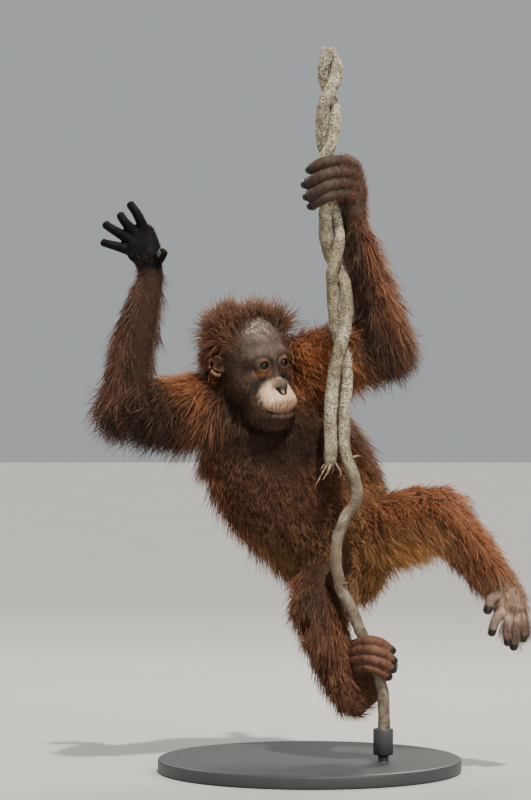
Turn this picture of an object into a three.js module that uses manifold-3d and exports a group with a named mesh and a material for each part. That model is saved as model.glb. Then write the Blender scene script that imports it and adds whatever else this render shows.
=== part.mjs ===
// A young orangutan on a twisted liana, life size, out to the tips of its coat.
// It grips the liana with its left hand and right foot, and a plain stand holds the liana.
// Millimetres. +Z is up, the animal faces -Y and its left side is towards +X.
// The origin is the middle of the stand's underside.
import * as THREE from 'three';
import Module from 'manifold-3d';
import { mergeVertices } from 'three/addons/utils/BufferGeometryUtils.js';

const wasm = await Module();
wasm.setup();

// Driving dimensions
const GAP = 0.3;                    // clearance between neighbouring solids
const BASE_RADIUS = 200;
const BASE_THICKNESS = 18;
const BASE_BEVEL = 3;
const ROD_RADIUS = 7;
const COLLAR_RADIUS = 13;
const COLLAR_WALL_TOP = 62;         // height of the collar's rim over the floor
const COLLAR_HEIGHT = 34;
const LIANA_BACK = -55;             // Y of the liana's middle line
const STRAND_A_RADIUS = 8.4;
const STRAND_B_RADIUS = 7.6;
const HEAD_MIDDLE = [-82, 7, 544];  // middle of the braincase
const HEAD_TURN = 38;               // degrees towards the animal's left
const HEAD_NOD = -4;                // degrees up
const HEAD_TILT = 8;                // degrees, left side up
const EYE_RADIUS = 9.5;
const EYE_APART = 31;
const FINGER_RADIUS = 7;
const TOE_RADIUS = 7;

const at = (x, y, z) => new THREE.Vector3(x, y, z);
const degrees = Math.PI / 180;

// Finishes

function finish(color, roughness, metalness = 0) {
  return new THREE.MeshStandardMaterial({ color, roughness, metalness });
}
const chestCoat = finish(0x4a2014, 0.75);
const armCoat = finish(0x5a2a1a, 0.75);
const legCoat = finish(0x8a3e18, 0.75);
const headCoat = finish(0x6b2f18, 0.75);
const handSkin = finish(0x2a201c, 0.6);
const footSkin = finish(0x6b4434, 0.6);
const earSkin = finish(0x5a4438, 0.6);
const eyeball = finish(0x1a0f08, 0.08);
const bark = finish(0x7a6e56, 0.85);
const standPaint = finish(0x2c2e30, 0.45, 0.6);

// Solids

function solidFrom(positions, triangles) {
  return new wasm.Manifold(new wasm.Mesh({
    numProp: 3,
    vertProperties: Float32Array.from(positions),
    triVerts: Uint32Array.from(triangles),
  }));
}

function solidFromGeometry(geometry) {
  geometry.deleteAttribute('normal');
  geometry.deleteAttribute('uv');
  const merged = mergeVertices(geometry, 1e-3);
  return solidFrom(merged.attributes.position.array, merged.index.array);
}

// An egg-shaped solid with its own three half-lengths along the columns of `axes`.
function egg({ middle, half, axes = new THREE.Matrix4(), around = 20, rows = 12, grow = 0 }) {
  const geometry = new THREE.SphereGeometry(1, around, rows);
  geometry.scale(half[0] + grow, half[1] + grow, half[2] + grow);
  geometry.applyMatrix4(axes);
  geometry.translate(middle.x, middle.y, middle.z);
  return solidFromGeometry(geometry);
}

// A limb follows its stations. Each station is [place, half-width along `side`, half-depth].
// Both ends are rounded.
function limb({ stations, side = at(1, 0, 0), rings = 8, sides = 12, capRings = 3, grow = 0 }) {
  const line = new THREE.CatmullRomCurve3(stations.map((s) => s[0]), false, 'centripetal');
  const girth = new THREE.CatmullRomCurve3(
    stations.map((s) => at(s[1], s[2] ?? s[1], 0)), false, 'catmullrom', 0.5);
  const loops = [];
  const addLoop = (t, along, shrink) => {
    const tangent = line.getTangent(t);
    const across = side.clone().addScaledVector(tangent, -side.dot(tangent)).normalize();
    const deep = tangent.clone().cross(across);
    const size = girth.getPoint(t);
    const middle = line.getPoint(t).addScaledVector(tangent, along);
    loops.push({ middle, across, deep, wide: (size.x + grow) * shrink, thick: (size.y + grow) * shrink });
  };
  const capLength = (t) => Math.min(girth.getPoint(t).x, girth.getPoint(t).y) * 0.9 + grow;
  for (let k = 1; k < capRings; k += 1) {
    const angle = (90 - (90 * k) / capRings) * degrees;
    addLoop(0, -capLength(0) * Math.sin(angle), Math.cos(angle));
  }
  for (let i = 0; i <= rings; i += 1) addLoop(i / rings, 0, 1);
  for (let k = capRings - 1; k > 0; k -= 1) {
    const angle = (90 - (90 * k) / capRings) * degrees;
    addLoop(1, capLength(1) * Math.sin(angle), Math.cos(angle));
  }
  const positions = [];
  const triangles = [];
  for (const loop of loops) {
    for (let j = 0; j < sides; j += 1) {
      const angle = (2 * Math.PI * j) / sides;
      const point = loop.middle.clone()
        .addScaledVector(loop.across, loop.wide * Math.cos(angle))
        .addScaledVector(loop.deep, loop.thick * Math.sin(angle));
      positions.push(point.x, point.y, point.z);
    }
  }
  for (let i = 0; i + 1 < loops.length; i += 1) {
    for (let j = 0; j < sides; j += 1) {
      const a = i * sides + j;
      const b = i * sides + ((j + 1) % sides);
      triangles.push(a, b, b + sides, a, b + sides, a + sides);
    }
  }
  const firstPole = line.getPoint(0).addScaledVector(line.getTangent(0), -capLength(0));
  const lastPole = line.getPoint(1).addScaledVector(line.getTangent(1), capLength(1));
  const first = loops.length * sides;
  const lastRing = (loops.length - 1) * sides;
  positions.push(firstPole.x, firstPole.y, firstPole.z, lastPole.x, lastPole.y, lastPole.z);
  for (let j = 0; j < sides; j += 1) {
    const next = (j + 1) % sides;
    triangles.push(first, next, j, first + 1, lastRing + j, lastRing + next);
  }
  return solidFrom(positions, triangles);
}

// A plain turned piece: `outline` holds [radius, height] pairs from the axis to the axis.
function turned({ x, y, outline, around = 40, grow = 0 }) {
  const points = outline.map(([radius, height]) => new THREE.Vector2(radius, height));
  const geometry = new THREE.LatheGeometry(points, around);
  if (grow > 0) {
    const middle = (outline[0][1] + outline[outline.length - 1][1]) / 2;
    const tall = Math.abs(outline[outline.length - 1][1] - outline[0][1]);
    const wide = Math.max(...outline.map((pair) => pair[0]));
    geometry.translate(0, -middle, 0);
    geometry.scale(1 + grow / wide, 1 + (2 * grow) / tall, 1 + grow / wide);
    geometry.translate(0, middle, 0);
  }
  geometry.rotateX(90 * degrees);
  geometry.translate(x, y, 0);
  return solidFromGeometry(geometry);
}

// The largest closed shell of a solid: a cut can leave crumbs beside the piece.
function largestShell(mesh) {
  const count = mesh.vertProperties.length / mesh.numProp;
  const root = Array.from({ length: count }, (_, i) => i);
  const find = (i) => {
    while (root[i] !== i) {
      root[i] = root[root[i]];
      i = root[i];
    }
    return i;
  };
  const corners = mesh.triVerts;
  for (let t = 0; t < corners.length; t += 3) {
    root[find(corners[t])] = find(corners[t + 1]);
    root[find(corners[t + 1])] = find(corners[t + 2]);
  }
  const tally = new Map();
  for (let t = 0; t < corners.length; t += 3) {
    const key = find(corners[t]);
    tally.set(key, (tally.get(key) ?? 0) + 1);
  }
  const best = [...tally.entries()].sort((p, q) => q[1] - p[1])[0][0];
  const kept = [];
  for (let t = 0; t < corners.length; t += 3) {
    if (find(corners[t]) === best) kept.push(corners[t], corners[t + 1], corners[t + 2]);
  }
  return kept;
}

const model = new THREE.Group();
const made = [];

// Each piece gives way, by the gap, to every piece made before it.
function addPiece(name, material, make) {
  let solid = make(0);
  for (const earlier of made) solid = solid.subtract(earlier);
  made.push(make(GAP));
  const result = solid.getMesh();
  const geometry = new THREE.BufferGeometry();
  geometry.setAttribute('position', new THREE.BufferAttribute(Float32Array.from(result.vertProperties), 3));
  geometry.setIndex(largestShell(result));
  geometry.computeBoundingBox();
  const middle = geometry.boundingBox.getCenter(at(0, 0, 0));
  geometry.translate(-middle.x, -middle.y, -middle.z);
  const mesh = new THREE.Mesh(geometry, material);
  mesh.name = name;
  mesh.position.copy(middle);
  model.add(mesh);
}

// Liana: two strands wound round each other. Each row of the twist is
// [height, X of the pair's middle, half the distance between strands, turn of strand A in degrees].
// At 0 degrees strand A lies to the right, at 90 degrees in front.
const twist = [
  [944, 24.5, 8.6, -95], [917, 26, 8.6, 0], [888, 24.5, 8.6, 90], [860, 24.5, 8.6, 175],
  [827, 23, 8.6, 225], [788, 19.5, 8.6, 330], [736, 26, 8.6, 490], [700, 29, 8.6, 545],
  [666, 31.5, 8.6, 630], [637, 37, 8.6, 715], [612, 39, 9.1, 735], [590, 39, 8.8, 760],
  [567, 40, 8.6, 800], [544, 41.5, 8.6, 860], [515, 39.5, 9, 890], [482, 36, 9.2, 895],
  [450, 35.5, 9, 900], [424, 36, 9, 900],
];
const strandAEnd = at(25, LIANA_BACK, 403);
const strandBRun = [
  [50.5, 406], [56.5, 390], [61, 373], [59, 356], [47, 339.5], [41, 323], [36, 307], [33.5, 281],
  [37.5, 256], [41, 241], [54, 216], [65, 190], [76.5, 161], [90, 129], [95, 103], [96, 77], [95, 48],
].map(([x, z]) => at(x, LIANA_BACK, z));

function strandPoints(phase) {
  const rows = twist.flatMap((row, i) => {
    const next = twist[i + 1];
    const halfWay = next && Math.abs(next[3] - row[3]) > 50;
    return halfWay ? [row, row.map((value, k) => (value + next[k]) / 2)] : [row];
  });
  return rows.map(([height, x, apart, turn]) => {
    const angle = (turn + phase) * degrees;
    return at(x + apart * Math.cos(angle), LIANA_BACK - apart * Math.sin(angle), height);
  });
}

function strand(points, radius, rings, grow) {
  const thin = radius * 0.35;
  const stations = points.map((point, i) => [point, i === points.length - 1 ? thin : radius]);
  return limb({ stations, rings, sides: 6, capRings: 1, grow });
}

addPiece('perch_liana_thick_strand', bark,
  (grow) => strand([...strandPoints(0), strandAEnd], STRAND_A_RADIUS, 42, grow));
addPiece('perch_liana_long_strand', bark, (grow) => {
  const stations = [...strandPoints(180), ...strandBRun].map((point) => [point, STRAND_B_RADIUS]);
  return limb({ stations, rings: 58, sides: 6, capRings: 1, grow });
});

// Stand: a flat round base, a short rod and a collar that holds the liana's lower end.
const rodX = strandBRun[strandBRun.length - 1].x;
addPiece('stand_base', standPaint, (grow) => turned({
  x: 0, y: 0, grow, around: 36,
  outline: [[0, 0], [BASE_RADIUS - BASE_BEVEL, 0], [BASE_RADIUS, BASE_BEVEL],
    [BASE_RADIUS, BASE_THICKNESS - BASE_BEVEL], [BASE_RADIUS - BASE_BEVEL, BASE_THICKNESS],
    [0, BASE_THICKNESS]],
}));
addPiece('stand_collar', standPaint, (grow) => turned({
  x: rodX, y: LIANA_BACK, grow, around: 20,
  outline: [[0, COLLAR_WALL_TOP - COLLAR_HEIGHT], [COLLAR_RADIUS, COLLAR_WALL_TOP - COLLAR_HEIGHT],
    [COLLAR_RADIUS, COLLAR_WALL_TOP], [0, COLLAR_WALL_TOP]],
}));
addPiece('stand_rod', standPaint, (grow) => turned({
  x: rodX, y: LIANA_BACK, grow, around: 20,
  outline: [[0, BASE_THICKNESS - 1], [ROD_RADIUS, BASE_THICKNESS - 1],
    [ROD_RADIUS, COLLAR_WALL_TOP - COLLAR_HEIGHT + 1], [0, COLLAR_WALL_TOP - COLLAR_HEIGHT + 1]],
}));

// Head: places in it are [forward, towards its left, up] from the braincase's middle.
const turn = HEAD_TURN * degrees;
const nod = HEAD_NOD * degrees;
const tilt = HEAD_TILT * degrees;
const faceWay = at(Math.sin(turn) * Math.cos(nod), -Math.cos(turn) * Math.cos(nod), Math.sin(nod));
const levelLeft = at(Math.cos(turn), Math.sin(turn), 0);
const levelUp = faceWay.clone().cross(levelLeft);
const leftWay = levelLeft.clone().multiplyScalar(Math.cos(tilt)).addScaledVector(levelUp, Math.sin(tilt));
const upWay = levelUp.clone().multiplyScalar(Math.cos(tilt)).addScaledVector(levelLeft, -Math.sin(tilt));
const headAxes = new THREE.Matrix4().makeBasis(faceWay, leftWay, upWay);
const inHead = (forward, left, up) => at(...HEAD_MIDDLE)
  .addScaledVector(faceWay, forward).addScaledVector(leftWay, left).addScaledVector(upWay, up);

for (const [name, way] of [['left', 1], ['right', -1]]) {
  addPiece(`eye_${name}`, eyeball, (grow) => egg({
    middle: inHead(52, (way * EYE_APART) / 2, -5), half: [EYE_RADIUS, EYE_RADIUS, EYE_RADIUS],
    axes: headAxes, around: 14, rows: 8, grow,
  }));
}
for (const [name, way] of [['left', 1], ['right', -1]]) {
  addPiece(`ear_${name}`, earSkin, (grow) => egg({
    middle: inHead(0, way * 52, -6), half: [10, 7, 13], axes: headAxes, around: 12, rows: 7, grow,
  }));
}

addPiece('head', headCoat, (grow) => {
  const eggs = [
    { middle: inHead(-2, 0, 28), half: [61, 58, 56], around: 16, rows: 10 },
    { middle: inHead(-10, 0, -4), half: [62, 56, 62], around: 14, rows: 9 },
    { middle: inHead(16, 0, -18), half: [46, 46, 52], around: 14, rows: 8 },
    { middle: inHead(46, 0, -48), half: [34, 28, 27], around: 12, rows: 8 },
    { middle: inHead(36, 0, -66), half: [35, 29, 25], around: 12, rows: 7 },
  ];
  return eggs.map((shape) => egg({ ...shape, axes: headAxes, grow }))
    .reduce((whole, next) => whole.add(next));
});

// Trunk and pelvis lean to the animal's left, because the left arm and right foot carry it.
const trunkSide = at(0.855, 0, 0.52);
addPiece('trunk', chestCoat, (grow) => limb({
  stations: [[at(-62, 44, 500), 66, 52], [at(-57, 46, 470), 96, 68], [at(-49, 45, 438), 110, 78],
    [at(-26, 45, 400), 113, 82], [at(-4, 47, 364), 109, 82]],
  side: trunkSide, rings: 7, sides: 16, capRings: 3, grow,
}));
addPiece('neck', headCoat, (grow) => limb({
  stations: [[at(-80, 12, 520), 40, 40], [at(-74, 28, 492), 54, 50], [at(-66, 44, 466), 50, 46]],
  rings: 4, sides: 12, grow,
}));
addPiece('pelvis', legCoat, (grow) => limb({
  stations: [[at(2, 48, 356), 86, 64], [at(26, 51, 318), 94, 75], [at(48, 54, 280), 68, 62]],
  side: trunkSide, rings: 6, sides: 16, capRings: 3, grow,
}));

// Right arm: raised, its open palm towards the front.
addPiece('upper_arm_right', armCoat, (grow) => limb({
  stations: [[at(-116, 34, 482), 56, 52], [at(-181, -11, 473), 46, 46], [at(-236, -49, 480), 45, 44]],
  side: at(0, 0, 1), rings: 6, sides: 12, grow,
}));
addPiece('forearm_right', armCoat, (grow) => limb({
  stations: [[at(-242, -52, 488), 36, 34], [at(-246, -55, 528), 40, 38], [at(-229, -55, 590), 27, 28],
    [at(-213, -55, 635), 22, 20], [at(-208, -55, 656), 19, 16]],
  rings: 7, sides: 12, grow,
}));
addPiece('palm_right', handSkin, (grow) => limb({
  stations: [[at(-209, -55, 668), 18, 13], [at(-216, -56, 686), 23, 12], [at(-224, -57, 703), 22, 11]],
  side: at(1, 0, 0.45), rings: 4, sides: 12, grow,
}));

// Left arm: bent, its hand closed round the liana over the head.
addPiece('upper_arm_left', armCoat, (grow) => limb({
  stations: [[at(-10, 49, 526), 52, 50], [at(47, 7, 548), 50, 50], [at(94, -28, 562), 52, 50]],
  side: at(0, 0, 1), rings: 6, sides: 12, grow,
}));
addPiece('forearm_left', armCoat, (grow) => limb({
  stations: [[at(94, -30, 572), 38, 36], [at(93, -36, 608), 44, 40], [at(70, -41, 664), 26, 26],
    [at(57, -42, 715), 18, 20]],
  rings: 7, sides: 12, grow,
}));
addPiece('palm_left', handSkin, (grow) => limb({
  stations: [[at(57, -42, 738), 18, 18], [at(57, -41, 766), 19, 20], [at(54, -43, 788), 16, 18]],
  rings: 4, sides: 12, grow,
}));

// Right leg: bent forward, its foot closed round the liana below.
addPiece('thigh_right', legCoat, (grow) => limb({
  stations: [[at(34, 50, 288), 50, 48], [at(24, 14, 250), 46, 45], [at(14, -16, 220), 41, 40]],
  rings: 5, sides: 12, grow,
}));
addPiece('shank_right', legCoat, (grow) => limb({
  stations: [[at(13, -20, 210), 30, 32], [at(16, -25, 178), 37, 37], [at(38, -29, 128), 29, 29],
    [at(52, -30, 104), 25, 25]],
  rings: 6, sides: 12, grow,
}));
addPiece('foot_right', footSkin, (grow) => limb({
  stations: [[at(62, -30, 94), 22, 18], [at(78, -29, 116), 34, 16], [at(68, -35, 158), 24, 14]],
  rings: 6, sides: 12, grow,
}));

// Left leg: swung out to the side, the foot hanging free.
addPiece('thigh_left', legCoat, (grow) => limb({
  stations: [[at(68, 50, 308), 50, 48], [at(123, 19, 325), 50, 48], [at(166, -10, 336), 45, 44]],
  side: at(0, 0, 1), rings: 5, sides: 12, grow,
}));
addPiece('shank_left', legCoat, (grow) => limb({
  stations: [[at(170, -12, 336), 34, 34], [at(196, -18, 312), 39, 38], [at(236, -24, 262), 28, 27]],
  side: at(0.765, 0, 0.645), rings: 6, sides: 12, grow,
}));
addPiece('foot_left', footSkin, (grow) => limb({
  stations: [[at(246, -25, 250), 25, 21], [at(260, -27, 226), 27, 14], [at(264, -28, 212), 25, 11]],
  side: at(0.9, 0, 0.3), rings: 5, sides: 12, grow,
}));

// Fingers and toes: each row is the piece's name, its finish, its radius and its bend.
const digits = [
  ['index_finger_right', handSkin, FINGER_RADIUS,
    [[-214, -56, 706], [-224, -62, 722], [-230, -61, 735], [-236, -55, 744]]],
  ['middle_finger_right', handSkin, FINGER_RADIUS,
    [[-228, -56, 702], [-238, -63, 715], [-244, -63, 724], [-248, -58, 731]]],
  ['ring_finger_right', handSkin, FINGER_RADIUS,
    [[-238, -56, 698], [-250, -63, 705], [-260, -64, 713], [-267, -59, 719]]],
  ['little_finger_right', handSkin, FINGER_RADIUS - 0.5,
    [[-240, -56, 686], [-252, -63, 689], [-263, -63, 693], [-271, -59, 696]]],
  ['thumb_right', handSkin, FINGER_RADIUS, [[-204, -60, 668], [-197, -66, 674], [-189, -72, 681]]],
  ['index_finger_left', handSkin, FINGER_RADIUS,
    [[56, -52, 796], [42, -72, 803], [22, -80, 801], [6, -76, 796], [-2, -66, 790]]],
  ['middle_finger_left', handSkin, FINGER_RADIUS,
    [[58, -52, 784], [42, -75, 787], [20, -82, 782], [2, -76, 772], [-7, -66, 766]]],
  ['ring_finger_left', handSkin, FINGER_RADIUS,
    [[58, -52, 769], [42, -75, 771], [22, -82, 767], [4, -76, 757], [-3, -66, 751]]],
  ['little_finger_left', handSkin, FINGER_RADIUS - 0.5,
    [[57, -52, 754], [42, -73, 757], [24, -80, 752], [5, -70, 742]]],
  ['thumb_left', handSkin, FINGER_RADIUS + 1, [[46, -32, 742], [30, -28, 756], [14, -30, 768]]],
  ['second_toe_right', footSkin, TOE_RADIUS,
    [[58, -44, 172], [74, -68, 180], [92, -72, 177], [106, -63, 166]]],
  ['third_toe_right', footSkin, TOE_RADIUS,
    [[56, -44, 161], [74, -70, 168], [94, -74, 163], [108, -63, 152]]],
  ['fourth_toe_right', footSkin, TOE_RADIUS,
    [[56, -44, 150], [74, -70, 155], [93, -74, 150], [108, -63, 140]]],
  ['fifth_toe_right', footSkin, TOE_RADIUS - 0.5,
    [[58, -44, 139], [74, -68, 143], [90, -71, 138], [102, -63, 130]]],
  ['great_toe_right', footSkin, TOE_RADIUS + 1, [[84, -33, 150], [98, -38, 148], [108, -48, 143]]],
  ['second_toe_left', footSkin, TOE_RADIUS, [[253, -31, 214], [242, -40, 202], [237, -42, 184]]],
  ['third_toe_left', footSkin, TOE_RADIUS, [[262, -31, 208], [258, -38, 190], [258, -41, 172]]],
  ['fourth_toe_left', footSkin, TOE_RADIUS, [[270, -30, 208], [270, -36, 186], [266, -39, 165]]],
  ['fifth_toe_left', footSkin, TOE_RADIUS - 0.5, [[277, -26, 211], [281, -30, 190], [279, -33, 175]]],
  ['great_toe_left', footSkin, TOE_RADIUS + 0.5, [[246, -37, 236], [234, -49, 228], [230, -53, 214]]],
];
for (const [name, material, radius, bend] of digits) {
  const last = bend.length - 1;
  const stations = bend.map((place, i) => [at(...place), i === last ? radius * 0.8 : radius]);
  const level = Math.abs(bend[last][0] - bend[0][0]) > Math.abs(bend[last][2] - bend[0][2]);
  const side = level ? at(0, 0, 1) : at(1, 0, 0);
  addPiece(name, material, (grow) => limb({ stations, side, rings: 5, sides: 8, capRings: 2, grow }));
}

export default model;
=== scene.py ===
import math

import bpy
import numpy as np
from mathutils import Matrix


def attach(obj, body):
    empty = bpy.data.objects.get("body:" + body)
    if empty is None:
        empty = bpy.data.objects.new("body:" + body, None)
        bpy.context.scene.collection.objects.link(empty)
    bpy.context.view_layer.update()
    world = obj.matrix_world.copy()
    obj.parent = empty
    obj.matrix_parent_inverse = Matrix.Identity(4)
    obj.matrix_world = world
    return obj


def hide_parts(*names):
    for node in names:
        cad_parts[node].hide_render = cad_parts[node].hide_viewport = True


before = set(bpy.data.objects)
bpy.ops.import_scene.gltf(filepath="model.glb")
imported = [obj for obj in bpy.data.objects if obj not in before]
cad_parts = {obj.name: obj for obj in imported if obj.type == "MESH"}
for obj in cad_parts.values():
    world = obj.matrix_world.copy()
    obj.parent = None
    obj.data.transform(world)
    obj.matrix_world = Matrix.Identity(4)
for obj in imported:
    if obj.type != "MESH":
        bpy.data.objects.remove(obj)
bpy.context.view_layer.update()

# Camera and studio.
# The camera looks level from the front, 4 m before the liana, and frames 1.04 m of height there.
# A pale floor and sky, a warm high sun in front, a soft lamp that glints in the eyes, two rim lamps.

CAMERA_AWAY = 4.0
FRAME_HEIGHT = 1.04
LIANA_BACK = -0.055
LENS_CENTRE = (-0.058, 0.489)

camera_data = bpy.data.cameras.new("camera")
camera_data.sensor_fit = "VERTICAL"
camera_data.sensor_height = 36.0
camera_data.lens = 36.0 * CAMERA_AWAY / FRAME_HEIGHT
camera = bpy.data.objects.new("camera", camera_data)
camera.location = (LENS_CENTRE[0], LIANA_BACK - CAMERA_AWAY, LENS_CENTRE[1])
camera.rotation_euler = (math.pi / 2, 0, 0)
bpy.context.scene.collection.objects.link(camera)
bpy.context.scene.camera = camera


class Socket:
    """A shader socket that adds Math nodes when it is used in a sum."""

    def __init__(self, finish, value):
        self.finish = finish
        self.value = value

    def math(self, operation, other):
        node = self.finish.nodes.new("ShaderNodeMath")
        node.operation = operation
        for slot, part in zip(node.inputs, (self, other)):
            self.finish.put(slot, part)
        return Socket(self.finish, node.outputs[0])

    def __add__(self, other):
        return self.math("ADD", other)

    def __mul__(self, other):
        return self.math("MULTIPLY", other)

    __radd__ = __add__
    __rmul__ = __mul__


class Finish:
    """One material, its nodes and its Principled shader."""

    def __init__(self, name, **settings):
        self.material = bpy.data.materials.new(name)
        self.material.use_nodes = True
        self.nodes = self.material.node_tree.nodes
        self.links = self.material.node_tree.links
        self.shader = self.nodes["Principled BSDF"]
        for key, value in settings.items():
            self.shader.inputs[key.replace("_", " ")].default_value = value
        self.place = self.node("ShaderNodeTexCoord", output="Object")

    def put(self, socket, value):
        if isinstance(value, Socket):
            self.links.new(value.value, socket)
        else:
            socket.default_value = value

    def node(self, kind, settings=None, output=0, **inputs):
        node = self.nodes.new(kind)
        for key, value in (settings or {}).items():
            if key == "stops":
                ramp = node.color_ramp
                while len(ramp.elements) < len(value):
                    ramp.elements.new(0.5)
                for element, (position, colour) in zip(ramp.elements, value):
                    element.position = position
                    element.color = colour
            else:
                setattr(node, key, value)
        for key, value in inputs.items():
            self.put(node.inputs[key.replace("_", " ")], value)
        return Socket(self, node.outputs[output])

    def paint(self):
        return self.node("ShaderNodeAttribute", {"attribute_name": "paint"})

    def noise(self, scale, detail=4.0, rough=0.55, where=None):
        return self.node("ShaderNodeTexNoise", Vector=where or self.place, Scale=scale, Detail=detail,
                         Roughness=rough)

    def ramp(self, value, *stops):
        wide = [(position, (*colour, 1.0)) for position, colour in stops]
        return self.node("ShaderNodeValToRGB", {"stops": wide}, Fac=value)

    def stretched(self, scale):
        return self.node("ShaderNodeMapping", Vector=self.place, Scale=scale)

    def mix(self, amount, first, second, blend="MIX"):
        node = self.nodes.new("ShaderNodeMix")
        node.data_type = "RGBA"
        node.blend_type = blend
        for name, value in (("Factor_Float", amount), ("A_Color", first), ("B_Color", second)):
            self.put(next(s for s in node.inputs if s.identifier == name), value)
        return Socket(self, next(s for s in node.outputs if s.identifier == "Result_Color"))

    def colour(self, value):
        self.put(self.shader.inputs["Base Color"], value)

    def roughness(self, value):
        self.put(self.shader.inputs["Roughness"], value)

    def bump(self, height, strength, distance):
        normal = self.node("ShaderNodeBump", Strength=strength, Distance=distance, Height=height)
        self.put(self.shader.inputs["Normal"], normal)


def mesh_object(name, points, faces, finish, smooth=True):
    """A mesh from arrays: points in metres, and triangles or quads of one size."""
    mesh = bpy.data.meshes.new(name)
    points = np.asarray(points, np.float32)
    faces = np.asarray(faces, np.int32)
    count, corners = faces.shape
    mesh.vertices.add(len(points))
    mesh.vertices.foreach_set("co", points.ravel())
    mesh.loops.add(count * corners)
    mesh.loops.foreach_set("vertex_index", faces.ravel())
    mesh.polygons.add(count)
    mesh.polygons.foreach_set("loop_start", np.arange(0, count * corners, corners, dtype=np.int32))
    mesh.polygons.foreach_set("use_smooth", np.full(count, smooth))
    mesh.update(calc_edges=True)
    mesh.validate()
    mesh.materials.append(finish.material)
    made = bpy.data.objects.new(name, mesh)
    bpy.context.scene.collection.objects.link(made)
    return made


floor_finish = Finish("floor", Roughness=0.9)
clouds = floor_finish.noise(3.0)
floor_finish.colour(floor_finish.mix(clouds, (0.40, 0.40, 0.395, 1), (0.37, 0.37, 0.365, 1)))
corners = [(-20, -20, 0), (20, -20, 0), (20, 20, 0), (-20, 20, 0)]
floor = mesh_object("floor", corners, [(0, 1, 2, 3)], floor_finish, smooth=False)

world = bpy.data.worlds.new("studio")
world.use_nodes = True
sky = world.node_tree.nodes["Background"]
sky.inputs["Color"].default_value = (0.84, 0.88, 0.90, 1)
sky.inputs["Strength"].default_value = 0.46
bpy.context.scene.world = world


def lamp(name, kind, place, power, tint, size):
    """A sun or disk lamp at a place in metres, aimed at the middle of the animal."""
    data = bpy.data.lights.new(name, kind)
    data.energy = power
    data.color = tint
    if kind == "SUN":
        data.angle = size
    else:
        data.shape = "DISK"
        data.size = size
    made = bpy.data.objects.new(name, data)
    made.location = place
    away = np.array(place, float) - (0, 0, 0.45)
    made.rotation_euler = (math.atan2(math.hypot(away[0], away[1]), away[2]), 0,
                           math.atan2(away[0], -away[1]))
    bpy.context.scene.collection.objects.link(made)


lamp("sun", "SUN", (0.33, -1.3, 2.8), 5.2, (1.0, 0.95, 0.86), 0.03)
lamp("catch", "AREA", (1.95, -2.5, 1.9), 36, (1.0, 0.98, 0.95), 0.9)
lamp("rim_right", "AREA", (0.8, 1.5, 1.7), 34, (1.0, 0.93, 0.80), 0.6)
lamp("rim_left", "AREA", (-1.4, 1.4, 1.8), 24, (1.0, 0.95, 0.86), 0.6)

# Skin.
# One closed skin covers head, trunk, limbs, hands and feet, and lies under the coat.
# It is the zero level of a distance field made of limbs with oval sections that flow together.

MM = 0.001


def curve(rows, steps):
    """Smooth stations between the given ones, by a Catmull-Rom curve."""
    rows = np.asarray(rows, float)
    ends = np.vstack([2 * rows[0] - rows[1], rows, 2 * rows[-1] - rows[-2]])
    out = []
    for i in range(1, len(ends) - 2):
        a, b, c, d = ends[i - 1:i + 3]
        for k in range(steps):
            t = k / steps
            out.append(0.5 * (2 * b + (c - a) * t + (2 * a - 5 * b + 4 * c - d) * t ** 2
                              + (3 * b - a - 3 * c + d) * t ** 3))
    out.append(rows[-1])
    return np.array(out)


class Limb:
    """A rounded limb: stations are (x, y, z, half-width along side, half-depth) in millimetres."""

    def __init__(self, stations, side=(1, 0, 0), blend=10.0, steps=3):
        rows = curve(stations, steps)
        self.a = rows[:-1]
        self.b = rows[1:]
        self.side = np.asarray(side, float)
        self.blend = blend
        reach = rows[:, 3:].max(1)[:, None]
        self.low = (rows[:, :3] - reach).min(0)
        self.high = (rows[:, :3] + reach).max(0)

    def stretches(self, points):
        """For each straight stretch: its ends and ways, and each point's offset and share along it."""
        for a, b in zip(self.a, self.b):
            line = b[:3] - a[:3]
            length = np.linalg.norm(line)
            way = line / length
            across = self.side - way * (self.side @ way)
            across /= np.linalg.norm(across)
            off = points - a[:3]
            t = np.clip(off @ way / length, 0, 1)
            yield a, b, way, across, np.cross(way, across), off - t[:, None] * line, t

    def distance(self, points):
        best = np.full(len(points), 1e3)
        for a, b, way, across, deep, off, t in self.stretches(points):
            wide = a[3] + (b[3] - a[3]) * t
            thick = a[4] + (b[4] - a[4]) * t
            along = np.minimum(wide, thick)
            level = np.sqrt((off @ across / wide) ** 2 + (off @ deep / thick) ** 2
                            + (off @ way / along) ** 2)
            best = np.minimum(best, (level - 1) * along)
        return best

    def trace(self, points):
        """How far along the limb each point lies, from 0 to 1, its turn about it and the way."""
        best = np.full(len(points), 1e9)
        share = np.zeros(len(points))
        turn = np.zeros(len(points))
        heading = np.zeros((len(points), 3))
        for i, (_, _, way, across, deep, off, t) in enumerate(self.stretches(points)):
            gap = np.linalg.norm(off, axis=1)
            near = gap < best
            best[near] = gap[near]
            share[near] = (i + t[near]) / len(self.a)
            turn[near] = np.arctan2(off[near] @ deep, off[near] @ across)
            heading[near] = way
        return share, turn, heading


class Egg:
    """An ellipsoid with half-lengths along the rows of axes, in millimetres."""

    def __init__(self, middle, half, axes=np.eye(3), blend=10.0):
        self.middle = np.asarray(middle, float)
        self.half = np.asarray(half, float)
        self.axes = axes
        self.blend = blend
        reach = np.sqrt((np.asarray(axes) ** 2 * self.half[:, None] ** 2).sum(0))
        self.low = self.middle - reach
        self.high = self.middle + reach

    def distance(self, points):
        local = (points - self.middle) @ self.axes.T
        level = np.linalg.norm(local / self.half, axis=1)
        steep = np.linalg.norm(local / self.half ** 2, axis=1) + 1e-9
        return level * (level - 1) / steep


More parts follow.
